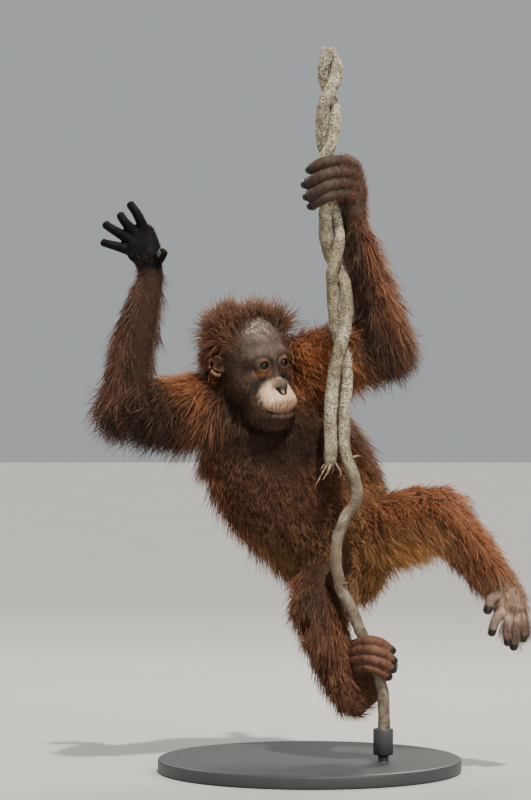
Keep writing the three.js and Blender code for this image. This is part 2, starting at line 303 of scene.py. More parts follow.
# The head's own frame: forward, towards its left, up.
HEAD_MIDDLE = np.array([-82.0, 7.0, 544.0])
turn, nod, tilt = np.radians([38.0, -4.0, 8.0])
forward = np.array([math.sin(turn) * math.cos(nod), -math.cos(turn) * math.cos(nod), math.sin(nod)])
level_left = np.array([math.cos(turn), math.sin(turn), 0.0])
level_up = np.cross(forward, level_left)
left = level_left * math.cos(tilt) + level_up * math.sin(tilt)
up = level_up * math.cos(tilt) - level_left * math.sin(tilt)
HEAD = np.array([forward, left, up])


def in_head(*place):
    return HEAD_MIDDLE + np.asarray(place, float) @ HEAD


def head_egg(place, half, blend=8.0, nose_down=0.0, toe_in=0.0):
    """An ellipsoid in the head, turned nose down and inwards by degrees."""
    p, q = np.radians([nose_down, toe_in])
    pitch = np.array([[math.cos(p), 0, -math.sin(p)], [0, 1, 0], [math.sin(p), 0, math.cos(p)]])
    yaw = np.array([[math.cos(q), math.sin(q), 0], [-math.sin(q), math.cos(q), 0], [0, 0, 1]])
    return Egg(in_head(*place), half, pitch @ yaw @ HEAD, blend)


def head_limb(stations, blend=4.0, side=(0, 0, 1), steps=3):
    rows = [(*in_head(*row[:3]), *row[3:]) for row in stations]
    return Limb(rows, np.asarray(side, float) @ HEAD, blend, steps)


EYE_RADIUS = 9.4
EYE_PLACES = {"left": (50.5, 16.0, -4.5), "right": (50.5, -16.0, -4.5)}

TRUNK_SIDE = (0.855, 0, 0.52)
limbs = {
    "trunk": Limb([(-66, 44, 498, 54, 42), (-58, 46, 470, 76, 54), (-49, 46, 438, 88, 62),
                   (-26, 47, 400, 92, 67), (-2, 49, 364, 88, 68), (22, 51, 326, 74, 62),
                   (46, 54, 286, 52, 50)], TRUNK_SIDE, 12, 2),
    "neck": Limb([(-80, 14, 516, 36, 36), (-74, 32, 488, 42, 42), (-66, 44, 466, 42, 40)], blend=16),
    "upper_arm_right": Limb([(-108, 38, 486, 40, 38), (-150, 12, 480, 34, 32), (-190, -17, 479, 27, 27),
                             (-226, -44, 485, 24, 25), (-236, -52, 492, 23, 24)], (0, 0, 1), 14, 2),
    "forearm_right": Limb([(-236, -52, 494, 23, 24), (-229, -54, 540, 22, 23), (-220, -55, 585, 19.5, 20),
                           (-212, -55, 622, 17.5, 16), (-207, -55, 652, 16.5, 13)], blend=8),
    "upper_arm_left": Limb([(-8, 49, 526, 40, 38), (20, 30, 541, 33, 33), (56, 0, 553, 28, 28),
                            (90, -28, 566, 26, 26)], (0, 0, 1), 14, 2),
    "forearm_left": Limb([(91, -30, 570, 25, 26), (82, -37, 612, 23, 24), (68, -41, 664, 19, 20),
                          (58, -42, 712, 15.5, 16.5), (56, -42, 732, 15, 16)], blend=8),
    "thigh_right": Limb([(36, 50, 286, 44, 42), (26, 20, 254, 37, 36), (14, -14, 222, 30, 30)], blend=14),
    "shank_right": Limb([(16, -17, 214, 26, 28), (24, -25, 172, 22, 24), (42, -29, 128, 18, 20),
                         (56, -30, 102, 16, 17)], blend=8),
    "thigh_left": Limb([(68, 50, 306, 44, 42), (123, 19, 325, 37, 36), (166, -10, 336, 30, 30)],
                       (0, 0, 1), 14),
    "shank_left": Limb([(170, -12, 333, 29, 29), (206, -19, 300, 24, 24), (238, -24, 260, 18, 18)],
                       (0.765, 0, 0.645), 8),
    "palm_right": Limb([(-208, -55, 662, 16, 11), (-214, -55, 682, 21, 11), (-221, -54, 700, 21.5, 9.5),
                        (-224, -54, 706, 20, 8)], (1, 0, 0.45), 6),
    "palm_left": Limb([(57, -42, 738, 15, 15), (58, -41, 764, 15, 17), (54, -43, 789, 12, 15)], blend=6),
    "foot_right": Limb([(58, -29, 92, 18, 16), (72, -29, 118, 25, 14), (68, -34, 158, 20, 12)], blend=8),
    "foot_left": Limb([(244, -25, 252, 19, 17), (258, -27, 230, 21, 12), (265, -28, 214, 21, 8.5)],
                      (0.9, 0, 0.3), 8),
}
palm_pads = [Egg((-208, -62, 672), (9, 6, 14), blend=5), Egg((-230, -60, 684), (8, 5, 14), blend=5)]
flesh = [*limbs.values(), *palm_pads]

# Fingers and toes: (places, radius at the root, radius near the tip).
DIGITS = {
    "index_finger_right": (
        [(-214, -54, 704), (-219, -58, 719), (-226, -60, 733), (-233, -56, 742)], 7.6, 5.4),
    "middle_finger_right": (
        [(-226, -54, 704), (-235, -58, 714), (-241, -60, 721), (-246, -57, 728)], 7.4, 5.4),
    "ring_finger_right": (
        [(-236, -55, 698), (-247, -59, 705), (-257, -61, 711), (-265, -58, 716)], 7.2, 5.2),
    "little_finger_right": (
        [(-236, -56, 684), (-249, -59, 688), (-260, -60, 691), (-268, -57, 693)], 6.8, 4.8),
    "thumb_right": ([(-206, -58, 666), (-198, -64, 671), (-194, -70, 675), (-191, -75, 679)], 8.5, 6.4),
    "index_finger_left": (
        [(56, -50, 792), (44, -70, 798), (22, -80, 797), (8, -76, 792), (2, -66, 788)], 8.2, 7.0),
    "middle_finger_left": (
        [(58, -50, 780), (44, -74, 784), (20, -82, 780), (3, -76, 773), (-4, -66, 769)], 8.2, 7.0),
    "ring_finger_left": (
        [(58, -50, 767), (44, -74, 770), (22, -82, 765), (5, -76, 757), (-2, -66, 753)], 8.0, 6.8),
    "little_finger_left": (
        [(57, -50, 754), (44, -72, 757), (24, -80, 752), (9, -73, 745), (3, -65, 741)], 7.6, 6.4),
    "thumb_left": ([(46, -33, 742), (32, -28, 754), (14, -30, 768)], 8.2, 6.4),
    "second_toe_right": ([(58, -42, 169), (74, -67, 177), (92, -71, 174), (104, -63, 164)], 7.6, 6.4),
    "third_toe_right": ([(56, -42, 160), (74, -69, 166), (94, -73, 161), (106, -63, 151)], 7.6, 6.4),
    "fourth_toe_right": ([(56, -42, 150), (74, -69, 154), (93, -73, 149), (105, -63, 140)], 7.6, 6.4),
    "fifth_toe_right": ([(58, -42, 139), (74, -67, 143), (89, -70, 138), (100, -63, 130)], 7.0, 5.8),
    "great_toe_right": ([(80, -34, 150), (98, -38, 148), (108, -48, 143)], 8.0, 6.6),
    "second_toe_left": ([(254, -30, 214), (243, -39, 203), (237, -42, 186)], 7.0, 5.6),
    "third_toe_left": ([(262, -30, 208), (258, -37, 190), (258, -40, 173)], 7.0, 5.6),
    "fourth_toe_left": ([(270, -29, 208), (270, -35, 187), (266, -38, 167)], 7.0, 5.6),
    "fifth_toe_left": ([(276, -26, 212), (281, -30, 192), (279, -33, 177)], 6.6, 5.2),
    "great_toe_left": ([(247, -35, 238), (236, -47, 229), (231, -52, 216)], 7.6, 6.2),
}


def digit(places, thick, thin):
    """A finger or toe that thins evenly towards its tip."""
    radii = [thick + (thin - thick) * i / (len(places) - 1) for i in range(len(places))]
    level = abs(places[-1][0] - places[0][0]) > abs(places[-1][2] - places[0][2])
    rows = [(*place, radius, radius) for place, radius in zip(places, radii)]
    return Limb(rows, (0, 0, 1) if level else (1, 0, 0), 2.2, 3)


digit_limbs = {name: digit(*spec) for name, spec in DIGITS.items()}
flesh += list(digit_limbs.values())

head_parts = [
    head_egg((-4, 0, 5), (56, 46, 48), 12),
    head_egg((6, 0, 17), (46, 42, 44), 12),
    head_egg((13, 0, -16), (41, 39, 44), 10),
    head_egg((44, 0, -47), (31, 30, 25), 10, 18),
    head_egg((36, 0, -66), (32, 26, 22), 10, 8),
    head_egg((60, 0, -56), (18, 28, 15), 8, 10),
    head_egg((54, 0, -77), (17, 18, 11), 8, 0),
    head_limb([(45, -30, 5, 5, 5), (50.5, -16, 9, 5, 5), (52, 0, 5, 5, 4), (50.5, 16, 9, 5, 5),
               (45, 30, 5, 5, 5)], 10),
    head_limb([(52, 0, 0, 7, 4), (56, 0, -15, 5.5, 4), (63, 0, -27, 6, 5)], 8),
    head_egg((67, 0, -31.5), (6.5, 11, 7.5), 5, 30),
]
for way in (1, -1):
    head_parts += [
        head_egg((34, way * 25, -26), (15, 14, 16), 12),
        head_limb([(7, way * 47, 6, 2.0, 2.0), (3, way * 52, 9.5, 2.0, 2.0), (-3, way * 57, 7.5, 1.9, 1.9),
                   (-7, way * 59, 0, 1.9, 1.9), (-6, way * 57, -9, 1.9, 1.9),
                   (-1, way * 53, -15, 2.3, 2.3), (5, way * 48, -16, 2.2, 2.2)], 1.6),
        head_limb([(3, way * 50, 4, 1.2, 1.2), (-1, way * 53.5, 3, 1.2, 1.2), (-3, way * 54.5, -3, 1.2, 1.2),
                   (-1, way * 52, -8.5, 1.3, 1.3), (4, way * 49.5, -9, 1.5, 1.5)], 1.2),
        head_egg((0, way * 49, -3), (8.5, 1.4, 12), 1.6, 0, way * -40),
        head_egg((4, way * 46, -8), (2.6, 3.6, 4), 2),
    ]
flesh += head_parts

# What is pressed into the head: sockets, lid openings, nostrils, the mouth line and folds.
eye_sockets, lids, lid_openings = [], [], []
for way, place in ((1, EYE_PLACES["left"]), (-1, EYE_PLACES["right"])):
    x, y, z = place
    eye_sockets.append(head_egg((x + 9, y + way * 0.5, z), (8, 13, 9.5), 5))
    lids.append(head_egg(place, (EYE_RADIUS + 1.5,) * 3, 3))
    lid_openings.append(head_egg((x + 8, y + way * 0.8, z + 0.2), (10, 6.9, 5.2), 1.4, 0, way * 8))
nostrils = [head_limb([(75.5, way * 1.4, -42.5, 1.5, 1.9), (74, way * 5.0, -39.5, 2.3, 2.9),
                       (71, way * 9.0, -34.5, 1.3, 1.9)], 1.2) for way in (1, -1)]
MOUTH = [(54, -30, -57), (66, -23, -63.5), (75.5, -11, -68), (78.5, 0, -69), (75.5, 11, -68),
         (66, 23, -63.5), (54, 30, -57)]
mouth = head_limb([(*place, 1.1, 2.2) for place in MOUTH], 1.6)
lower_lip = head_limb([(x - 4.6, y * 0.9, z - 4.8, 2.8, 3.4) for x, y, z in MOUTH], 5)
ARRIVE = 34.0   # how far off a limb still counts for the field, in millimetres


def near(shape, points, room=ARRIVE):
    return np.all((points > shape.low - room) & (points < shape.high + room), axis=1)


def join(first, second, soft):
    """Smooth union of two distances."""
    share = np.clip(0.5 + 0.5 * (second - first) / soft, 0, 1)
    return second + (first - second) * share - soft * share * (1 - share)


def carve(first, second, soft):
    """Smooth cut of the second out of the first."""
    return -join(-first, second, soft)


def field(points):
    """Distance from the skin in millimetres, less than zero inside the body."""
    total = np.full(len(points), ARRIVE)
    for shape in flesh:
        close = near(shape, points)
        if close.any():
            total[close] = join(total[close], shape.distance(points[close]), shape.blend)
    head = near(head_parts[0], points) | near(head_parts[3], points)
    if head.any():
        spots = points[head]
        level = total[head]
        for shape in eye_sockets:
            level = carve(level, shape.distance(spots), shape.blend)
        for shape in lids:
            level = join(level, shape.distance(spots), shape.blend)
        level = join(level, lower_lip.distance(spots), lower_lip.blend)
        for shape in (*lid_openings, *nostrils, mouth):
            level = carve(level, shape.distance(spots), shape.blend)
        total[head] = level
    return total


def slope(points, reach=0.4):
    """Outward direction and steepness of the field."""
    steps = np.eye(3) * reach
    return np.stack([(field(points + s) - field(points - s)) / (2 * reach) for s in steps], 1)


def field_grid(low, high, step):
    """The field on a grid, worked out only near the skin."""
    block = 4
    counts = [int(math.ceil((b - a) / (step * block))) for a, b in zip(low, high)]
    coarse_axes = [a + step * block * (np.arange(n) + 0.5) - step / 2 for a, n in zip(low, counts)]
    coarse = np.stack(np.meshgrid(*coarse_axes, indexing="ij"), -1).reshape(-1, 3)
    values = field(coarse).reshape(counts)
    for axis in range(3):
        values = np.repeat(values, block, axis)
    close = np.argwhere(np.abs(values) < 6.5 * step)
    spots = np.asarray(low) + close * step
    values[tuple(close.T)] = field(spots)
    return values


def surface_net(values, low, step):
    """Quads round every grid edge that crosses the skin, cut into triangles."""
    inside = values < 0
    size = np.array(values.shape) - 1
    corners = np.array([(i, j, k) for i in (0, 1) for j in (0, 1) for k in (0, 1)])
    count = sum(inside[i:i + size[0], j:j + size[1], k:k + size[2]].astype(np.int8)
                for i, j, k in corners)
    mixed = (count > 0) & (count < 8)
    cells = np.argwhere(mixed)
    number = np.full(mixed.shape, -1)
    number[mixed] = np.arange(len(cells))
    total = np.zeros((len(cells), 3))
    crossings = np.zeros(len(cells))
    for a in corners:
        for b in corners[(corners - a).sum(1) == 1]:
            if (b - a).min() < 0:
                continue
            first = values[tuple((cells + a).T)]
            second = values[tuple((cells + b).T)]
            hit = (first < 0) != (second < 0)
            share = first[hit] / (first[hit] - second[hit])
            total[hit] += a + share[:, None] * (b - a)
            crossings[hit] += 1
    points = np.asarray(low) + step * (cells + total / crossings[:, None])
    triangles = []
    for axis in range(3):
        ahead, u, v = np.roll(np.eye(3, dtype=int), -axis, 0)
        spots = np.argwhere(inside[:size[0], :size[1], :size[2]]
                            != inside[ahead[0]:, ahead[1]:, ahead[2]:][:size[0], :size[1], :size[2]])
        spots = spots[np.all(spots - u - v >= 0, axis=1)]
        ring = np.stack([number[tuple((spots - back).T)] for back in (u + v, v, 0 * u, u)], 1)
        out = inside[tuple(spots.T)]
        ring[~out] = ring[~out][:, ::-1]
        triangles += [ring[:, [0, 1, 2]], ring[:, [0, 2, 3]]]
    return points, np.vstack(triangles)


def split(points, triangles, chosen):
    """Halves every edge of the chosen triangles, and closes up their neighbours."""
    ends = np.sort(triangles[:, [[0, 1], [1, 2], [2, 0]]], axis=2)
    key = ends[..., 0] * len(points) + ends[..., 1]
    marked = np.unique(key[chosen])
    halves = 0.5 * (points[marked // len(points)] + points[marked % len(points)])
    hit = np.isin(key, marked)
    middle = len(points) + np.searchsorted(marked, key)
    out = [triangles[~hit.any(1)]]
    for lead in range(3):
        turned = [(lead + i) % 3 for i in range(3)]
        a, b, c = triangles[:, turned].T
        m = middle[:, turned]
        h = hit[:, turned]
        one = h[:, 0] & ~h[:, 1] & ~h[:, 2]
        out += [np.stack([a, m[:, 0], c], 1)[one], np.stack([m[:, 0], b, c], 1)[one]]
        two = h[:, 0] & h[:, 1] & ~h[:, 2]
        out += [np.stack([m[:, 0], b, m[:, 1]], 1)[two], np.stack([a, m[:, 0], m[:, 1]], 1)[two],
                np.stack([a, m[:, 1], c], 1)[two]]
    a, b, c = triangles[hit.all(1)].T
    m = middle[hit.all(1)].T
    out += [np.stack([a, m[0], m[2]], 1), np.stack([m[0], b, m[1]], 1),
            np.stack([m[2], m[1], c], 1), np.stack([m[0], m[1], m[2]], 1)]
    return np.vstack([points, halves]), np.vstack(out)


def settle(points, triangles, rounds, relax=0.5):
    """Evens the points out along the skin, then brings them back onto it."""
    ends = np.vstack([triangles[:, [0, 1]], triangles[:, [1, 2]], triangles[:, [2, 0]]])
    degree = np.bincount(ends.ravel(), minlength=len(points))[:, None]
    for _ in range(rounds):
        total = np.stack([np.bincount(ends[:, 0], points[ends[:, 1], k], len(points))
                          + np.bincount(ends[:, 1], points[ends[:, 0], k], len(points))
                          for k in range(3)], 1)
        points = points + relax * (total / degree - points)
        steep = slope(points)
        step = field(points)[:, None] * steep / (np.sum(steep ** 2, 1)[:, None] + 1e-3)
        length = np.linalg.norm(step, axis=1)[:, None]
        points = points - step * np.minimum(1, 2.0 / (length + 1e-9))
    return points


NET_STEP = 3.3
low = np.min([shape.low for shape in flesh], axis=0) - 8
high = np.max([shape.high for shape in flesh], axis=0) + 8
skin_points, skin_triangles = surface_net(field_grid(low, high, NET_STEP), low, NET_STEP)
skin_points = settle(skin_points, skin_triangles, 3)

# Boxes in the head, with limits forward, to either side and up: the face and ears carry a finer skin,
# and the lids, nostrils, mouth and ears the finest.
FINE = [(28, 999, -1, 34, -95, 24), (-17, 11, 43, 999, -22, 10)]
FINEST = [(44, 999, 2, 30, -19, 9), (56, 999, -1, 13, -45, -23), (50, 999, -1, 28, -73, -57),
          (-12, 12, 45, 999, -18, 12)]


def within(spots, boxes):
    local = (spots - HEAD_MIDDLE) @ HEAD.T
    local[:, 1] = np.abs(local[:, 1])
    return np.any([np.all((local > box[0::2]) & (local < box[1::2]), axis=1) for box in boxes], axis=0)


for boxes, fingers in ((FINE, digit_limbs.values()), (FINEST, [])):
    middles = skin_points[skin_triangles].mean(1)
    chosen = within(middles, boxes)
    for shape in fingers:
        chosen |= near(shape, middles, 3)
    skin_points, skin_triangles = split(skin_points, skin_triangles, chosen)
    skin_points = settle(skin_points, skin_triangles, 2, 0.35)


def unit(rows):
    """Every row scaled to a length of 1."""
    return rows / (np.linalg.norm(rows, axis=-1, keepdims=True) + 1e-9)


skin_normals = unit(slope(skin_points))


def smooth(value, low, high):
    """0 below low, 1 above high, eased between."""
    t = np.clip((value - low) / (high - low), 0, 1)
    return t * t * (3 - 2 * t)


waves = np.random.default_rng(11)
WAVE_WAYS = unit(waves.normal(size=(36, 3)))
WAVE_STARTS = waves.uniform(0, 2 * math.pi, 36)


def ripple(points, length, first=0, count=6):
    """A smooth random field of a given wave length in millimetres, about -1 to 1."""
    ways = WAVE_WAYS[first:first + count]
    beat = 2 * math.pi / length * (0.7 + 0.15 * np.arange(count))
    return np.sin(points @ ways.T * beat + WAVE_STARTS[first:first + count]).sum(1) / math.sqrt(count)


def blend_in(colours, amount, target):
    return colours + amount[:, None] * (np.asarray(target, float) - colours)


def spot(local, middle, half, soft=0.35):
    """1 inside an ellipsoid of the head, fading out at its rim."""
    level = np.linalg.norm((local - np.asarray(middle, float)) / np.asarray(half, float), axis=1)
    return 1 - smooth(level, 1 - soft, 1 + soft)


def belonging(points, soft=5.0):
    """How much each point belongs to each limb, by its distance from them."""
    names = list(limbs)
    weights = np.zeros((len(names) + 1, len(points)))
    for row, name in zip(weights, names):
        close = near(limbs[name], points)
        row[close] = np.exp(-np.maximum(limbs[name].distance(points[close]), 0) / soft)
    skull = np.minimum.reduce([shape.distance(points) for shape in head_parts[:5]])
    weights[-1] = np.exp(-np.maximum(skull, 0) / soft)
    total = weights.sum(0) + 1e-9
    return {name: row / total for name, row in zip([*names, "head"], weights)}


# Colours of the bare skin, linear, and a painted highlight for the forehead.
FACE_GREY = (0.070, 0.047, 0.036)
FOREHEAD_BROWN = (0.15, 0.108, 0.088)
FOREHEAD_PAINTED_HIGHLIGHT = (0.42, 0.35, 0.31)
MUZZLE_CREAM = (0.72, 0.50, 0.325)
LIP_PINK = (0.23, 0.115, 0.078)
LID_ORANGE = (0.32, 0.135, 0.06)
BODY_BROWN = (0.045, 0.022, 0.013)
PALM_BLACK = (0.004, 0.0034, 0.003)
HAND_BROWN = (0.085, 0.057, 0.044)
FOOT_PINK = (0.46, 0.33, 0.24)
TOE_RED = (0.17, 0.080, 0.052)
EAR_BROWN = (0.27, 0.13, 0.085)


def painted(made, colours):
    """Gives each point its colour, in an attribute that the material reads."""
    layer = made.data.color_attributes.new("paint", "FLOAT_COLOR", "POINT")
    full = np.ones((len(colours), 4), np.float32)
    full[:, :3] = colours
    layer.data.foreach_set("color", full.ravel())


# Patches on both sides of the face: middle on the left side, half-size, softness, the strength on
# the left and on the right, and the colour.
PAIRED_PATCHES = [((52, 16, -3), (18, 13, 12), 0.4, (0.55, 0.55), (0.085, 0.056, 0.038)),
                  ((55, 17, -14.5), (14, 9, 6), 0.7, (0.45, 0.85), LID_ORANGE),
                  ((50, 20, -30), (18, 15, 10), 0.6, (0.85, 0.85), (0.016, 0.014, 0.013)),
                  ((57, 16, 4.2), (12, 9, 1.8), 0.4, (1.0, 1.0), (0.14, 0.070, 0.042)),
                  ((-2, 52, -6), (14, 9, 17), 0.2, (1.0, 1.0), EAR_BROWN),
                  ((0, 48, -5), (7, 5, 10), 0.3, (0.8, 0.8), (0.035, 0.018, 0.013))]
NOSE_PAD = ((70, 0, -30.5), (13, 12, 8.5), 0.3)
CHIN = ((64, 0, -81), (32, 30, 14), 0.25)
TOE_TONES = {"great_toe_left": (0.15, 0.10, 0.08), "second_toe_left": (0.19, 0.13, 0.10),
             "third_toe_left": (0.11, 0.065, 0.05), "fourth_toe_left": (0.09, 0.05, 0.04),
             "fifth_toe_left": (0.08, 0.045, 0.035)}


def skin_colours(points):
    local = (points - HEAD_MIDDLE) @ HEAD.T
    x, y, z = points.T
    share = belonging(points)
    head = share["head"] > 0.3
    colours = np.tile(BODY_BROWN, (len(points), 1)).astype(float)

    def patch(amount, target):
        nonlocal colours
        colours = blend_in(colours, amount, target)

    patch(smooth(local[:, 0], -5, 20) * (local[:, 2] > -100) * share["head"], FACE_GREY)
    patch(head * spot(local, (46, -4, 34), (25, 27, 24), 0.85), FOREHEAD_BROWN)
    # Painted highlight: pale, broken up by ripples, on the upper forehead.
    painted_highlight = spot(local, (38, -12, 42), (20, 18, 12), 0.8) * smooth(ripple(local, 4.5, 3), -0.9, 0.9)
    patch(head * painted_highlight, FOREHEAD_PAINTED_HIGHLIGHT)
    for side, way in enumerate((1, -1)):
        for middle, half, soft, strengths, target in PAIRED_PATCHES:
            place = np.array(middle) * (1, way, 1)
            patch(strengths[side] * head * spot(local, place, half, soft), target)
    cream = spot(local + 1.6 * ripple(local, 7, 10)[:, None], (70, 0, -44), (27, 30, 21.5), 0.24)
    patch(head * cream, MUZZLE_CREAM)
    patch(head * spot(local, *NOSE_PAD), (0.13, 0.095, 0.072))
    band = spot(local, (72, 0, -59), (26, 31, 9), 0.4) * head
    waver = 1.3 * np.sin(local[:, 2] * 0.6) + 2 * ripple(local, 11, 4)
    pleats = 0.5 + 0.5 * np.sin(local[:, 1] * 1.55 + waver)
    patch(band * (0.5 + 0.5 * pleats), LIP_PINK)
    patch(head * spot(local, *CHIN), (0.062, 0.032, 0.022))
    # Painted shade: near-black inside the nostrils and along the mouth line.
    for nostril in nostrils:
        patch(1 - smooth(nostril.distance(points), 0.0, 1.0), (0.006, 0.004, 0.003))
    patch(1 - smooth(mouth.distance(points), -0.3, 1.1), (0.012, 0.006, 0.005))
    patch(np.clip(share["palm_right"] + smooth(z, 655, 668) * (x < -170), 0, 1), PALM_BLACK)
    patch(np.clip(share["palm_left"] + (z > 730) * (x > -30) * 1.0, 0, 1), HAND_BROWN)
    sole = np.clip(share["foot_left"] + (x > 225) * (z < 245), 0, 1)
    patch(sole, FOOT_PINK)
    # Painted shadow in the hollow between the great toe and the left foot.
    patch(1 - smooth(np.linalg.norm(points - (240, -34, 231), axis=1), 6, 11), (0.012, 0.007, 0.006))
    patch(smooth(ripple(points, 24, 20), 0.3, 1.2) * sole * 0.6, (0.10, 0.06, 0.045))
    patch(np.clip(share["foot_right"] + (z < 190) * (y < -52), 0, 1) * (x > 20), TOE_RED)
    for name, shape in digit_limbs.items():
        close = near(shape, points, 2)
        if not close.any():
            continue
        along, _, _ = shape.trace(points[close])
        on_it = shape.distance(points[close]) < 1.5
        skin_here = colours[close]
        if name.endswith(("toe_left", "finger_left")):
            tip = (0.035, 0.022, 0.018) if name.endswith("toe_left") else (0.045, 0.036, 0.030)
            skin_here = blend_in(skin_here, smooth(along, 0.72, 1.0) * on_it * 0.75, tip)
        if name in TOE_TONES:
            skin_here = blend_in(skin_here, 0.8 * on_it * smooth(along, 0.1, 0.5), TOE_TONES[name])
        joints = 0.5 + 0.5 * np.cos(along * 6 * math.pi)
        colours[close] = blend_in(skin_here, joints * on_it * 0.16, (0, 0, 0))
    mottle = 1 + 0.16 * ripple(points, 9, 6) + 0.10 * ripple(points, 3.4, 12)
    return colours * np.clip(mottle, 0.6, 1.4)[:, None]


skin_finish = Finish("skin", Roughness=0.50, Specular_IOR_Level=0.12)
skin_paint = skin_finish.paint()
pores = skin_finish.noise(900.0, 3.0, 0.6)
creases = skin_finish.noise(1.0, 4.0, 0.6, skin_finish.stretched((420.0, 420.0, 160.0)))
skin_finish.colour(skin_finish.mix(pores * 0.6, skin_paint, (0.42, 0.36, 0.33, 1), "MULTIPLY"))
skin_finish.roughness(pores * 0.25 + 0.48)
skin_finish.bump(pores * 0.4 + creases, 0.55, 0.0012)
skin = mesh_object("skin", skin_points * MM, skin_triangles, skin_finish)
painted(skin, skin_colours(skin_points))
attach(skin, "root")
whole_limbs = ["head", "trunk", "neck", "pelvis", "ear_left", "ear_right"]
paired_limbs = ["upper_arm", "forearm", "palm", "thigh", "shank", "foot"]
whole_limbs += [name + "_" + way for name in paired_limbs for way in ("left", "right")]
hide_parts(*whole_limbs, *DIGITS)

# Coat.
# Thin solid tufts grow from the skin and follow the lie of the hair: down the trunk, from shoulder
# and wrist to the elbow, down the legs, and away from the face over the head.

# For each limb: length of hair in millimetres, tufts to a square millimetre, lift in degrees.
COATS = {"trunk": (38, 0.29, 24), "neck": (46, 0.28, 22),
         "upper_arm_right": (50, 0.27, 22), "upper_arm_left": (46, 0.27, 22),
         "forearm_right": (34, 0.27, 26), "forearm_left": (38, 0.27, 28),
         "thigh_right": (30, 0.27, 20), "thigh_left": (38, 0.27, 22),
         "shank_right": (27, 0.30, 20), "shank_left": (30, 0.27, 20),
         "palm_right": (12, 0.16, 16), "palm_left": (18, 0.26, 20),
         "foot_right": (15, 0.24, 18), "foot_left": (15, 0.34, 18), "head": (36, 0.42, 30)}
FACE_CENTRE = np.array([40.0, 0, -18.0])
# Colours of the hair at its root, middle and tip, linear.
SHADES = {"maroon": ((0.028, 0.010, 0.006), (0.125, 0.043, 0.025), (0.30, 0.140, 0.088)),
          "orange": ((0.070, 0.020, 0.008), (0.30, 0.095, 0.034), (0.50, 0.21, 0.085)),
          "golden": ((0.11, 0.045, 0.012), (0.44, 0.21, 0.060), (0.70, 0.43, 0.16)),
          # Painted sunlight: a lighter copy of the orange hair, for places where the sun falls.
          "bright": ((0.12, 0.034, 0.012), (0.50, 0.165, 0.058), (0.74, 0.35, 0.155)),
          "dark": ((0.006, 0.004, 0.003), (0.016, 0.009, 0.006), (0.044, 0.027, 0.021)),
          "grey": ((0.030, 0.020, 0.014), (0.085, 0.055, 0.040), (0.22, 0.165, 0.135)),
          "pale": ((0.20, 0.14, 0.11), (0.34, 0.26, 0.21), (0.50, 0.42, 0.36))}


def bare_places(points, normals, local, share):
    """How much hair grows, from 0 to 1, and how short it is cut down, by place."""
    x, y, z = points.T
    nx, ny, nz = normals.T
    ahead, leftward, upward = local.T
    head = share["head"] > 0.4
    face = head * spot(local, (58, 0, -22), (38, 33, 44), 0.12)
    muzzle = head * spot(local, (70, 0, -50), (32, 28, 34), 0.08)
    eyes = head * np.maximum(*[spot(local, (56, way * 16, -6), (16, 13, 13), 0.1) for way in (1, -1)])
    ears = head * (np.abs(leftward) > 46.5) * (np.abs(ahead) < 12) * (np.abs(upward + 3) < 15)
    brow = head * spot(local, (50, -7, 27), (36, 32, 30), 0.22)
    temple = head * smooth(ahead, -12, 2) * smooth(-upward, -36, -18)
    ear_rim = head * (1 - smooth(np.linalg.norm((local - (0, 0, -3)) * (1, 0, 1), axis=1), 15, 24))
    cheek = head * smooth(ahead, 8, 30) * (upward < 20)
    before_ear = head * (np.abs(leftward) > 30) * spot(local * (1, 0, 1), (16, 0, -4), (20, 1, 20), 0.4)
    inner_right = share["forearm_right"] * smooth(0.75 * nx - 0.66 * ny, 0.15, 0.6)
    inner_left = share["forearm_left"] * smooth(-0.9 * nx - 0.42 * ny, 0.3, 0.7)
    chest = share["trunk"] * smooth(-ny, 0.1, 0.8)
    inner_thigh = share["thigh_right"] * smooth(-ny, 0.2, 0.8)
    wrists = smooth(z, 600, 655) * (x < -150) + smooth(z, 690, 735) * (x > 20)
    keep = (1 - 0.88 * face) * (1 - muzzle) * (1 - eyes) * (1 - ears) * (1 - 0.15 * brow)
    keep *= (1 - 0.5 * inner_right) * (1 - 0.45 * inner_left)
    keep *= 1 - share["palm_right"] * smooth(-ny, -0.4, 0.1)
    keep *= 1 - share["palm_left"] * smooth(-nx, -0.2, 0.3)
    keep *= 1 - share["foot_right"] * smooth(nx * 0.6 - ny * 0.2, 0.1, 0.5)
    keep *= 1 - share["foot_left"] * smooth(-0.3 * nx - 0.9 * ny, 0.3, 0.8) * 0.7
    trim = (1 - 0.72 * face) * (1 - 0.80 * brow) * (1 - 0.66 * temple) * (1 - 0.8 * ear_rim)
    trim *= (1 - 0.35 * cheek) * (1 - 0.72 * before_ear) * (1 - 0.75 * inner_right)
    trim *= (1 - 0.72 * inner_left) * (1 - 0.66 * chest) * (1 - 0.6 * inner_thigh)
    trim *= 1 - 0.45 * np.clip(wrists, 0, 1)
    for name, shape in digit_limbs.items():
        close = near(shape, points, 1)
        backs = 0.0
        if name.endswith("finger_left"):
            backs = 0.9 * (1 - smooth(shape.trace(points[close])[0], 0.25, 0.5)) * (nx[close] > -0.3)
        if name in ("third_toe_left", "fourth_toe_left", "fifth_toe_left"):
            backs = 1 - smooth(shape.trace(points[close])[0], 0.7, 0.9)
        keep[close] *= np.where(shape.distance(points[close]) < 1.5, backs, 1.0)
    return keep, trim


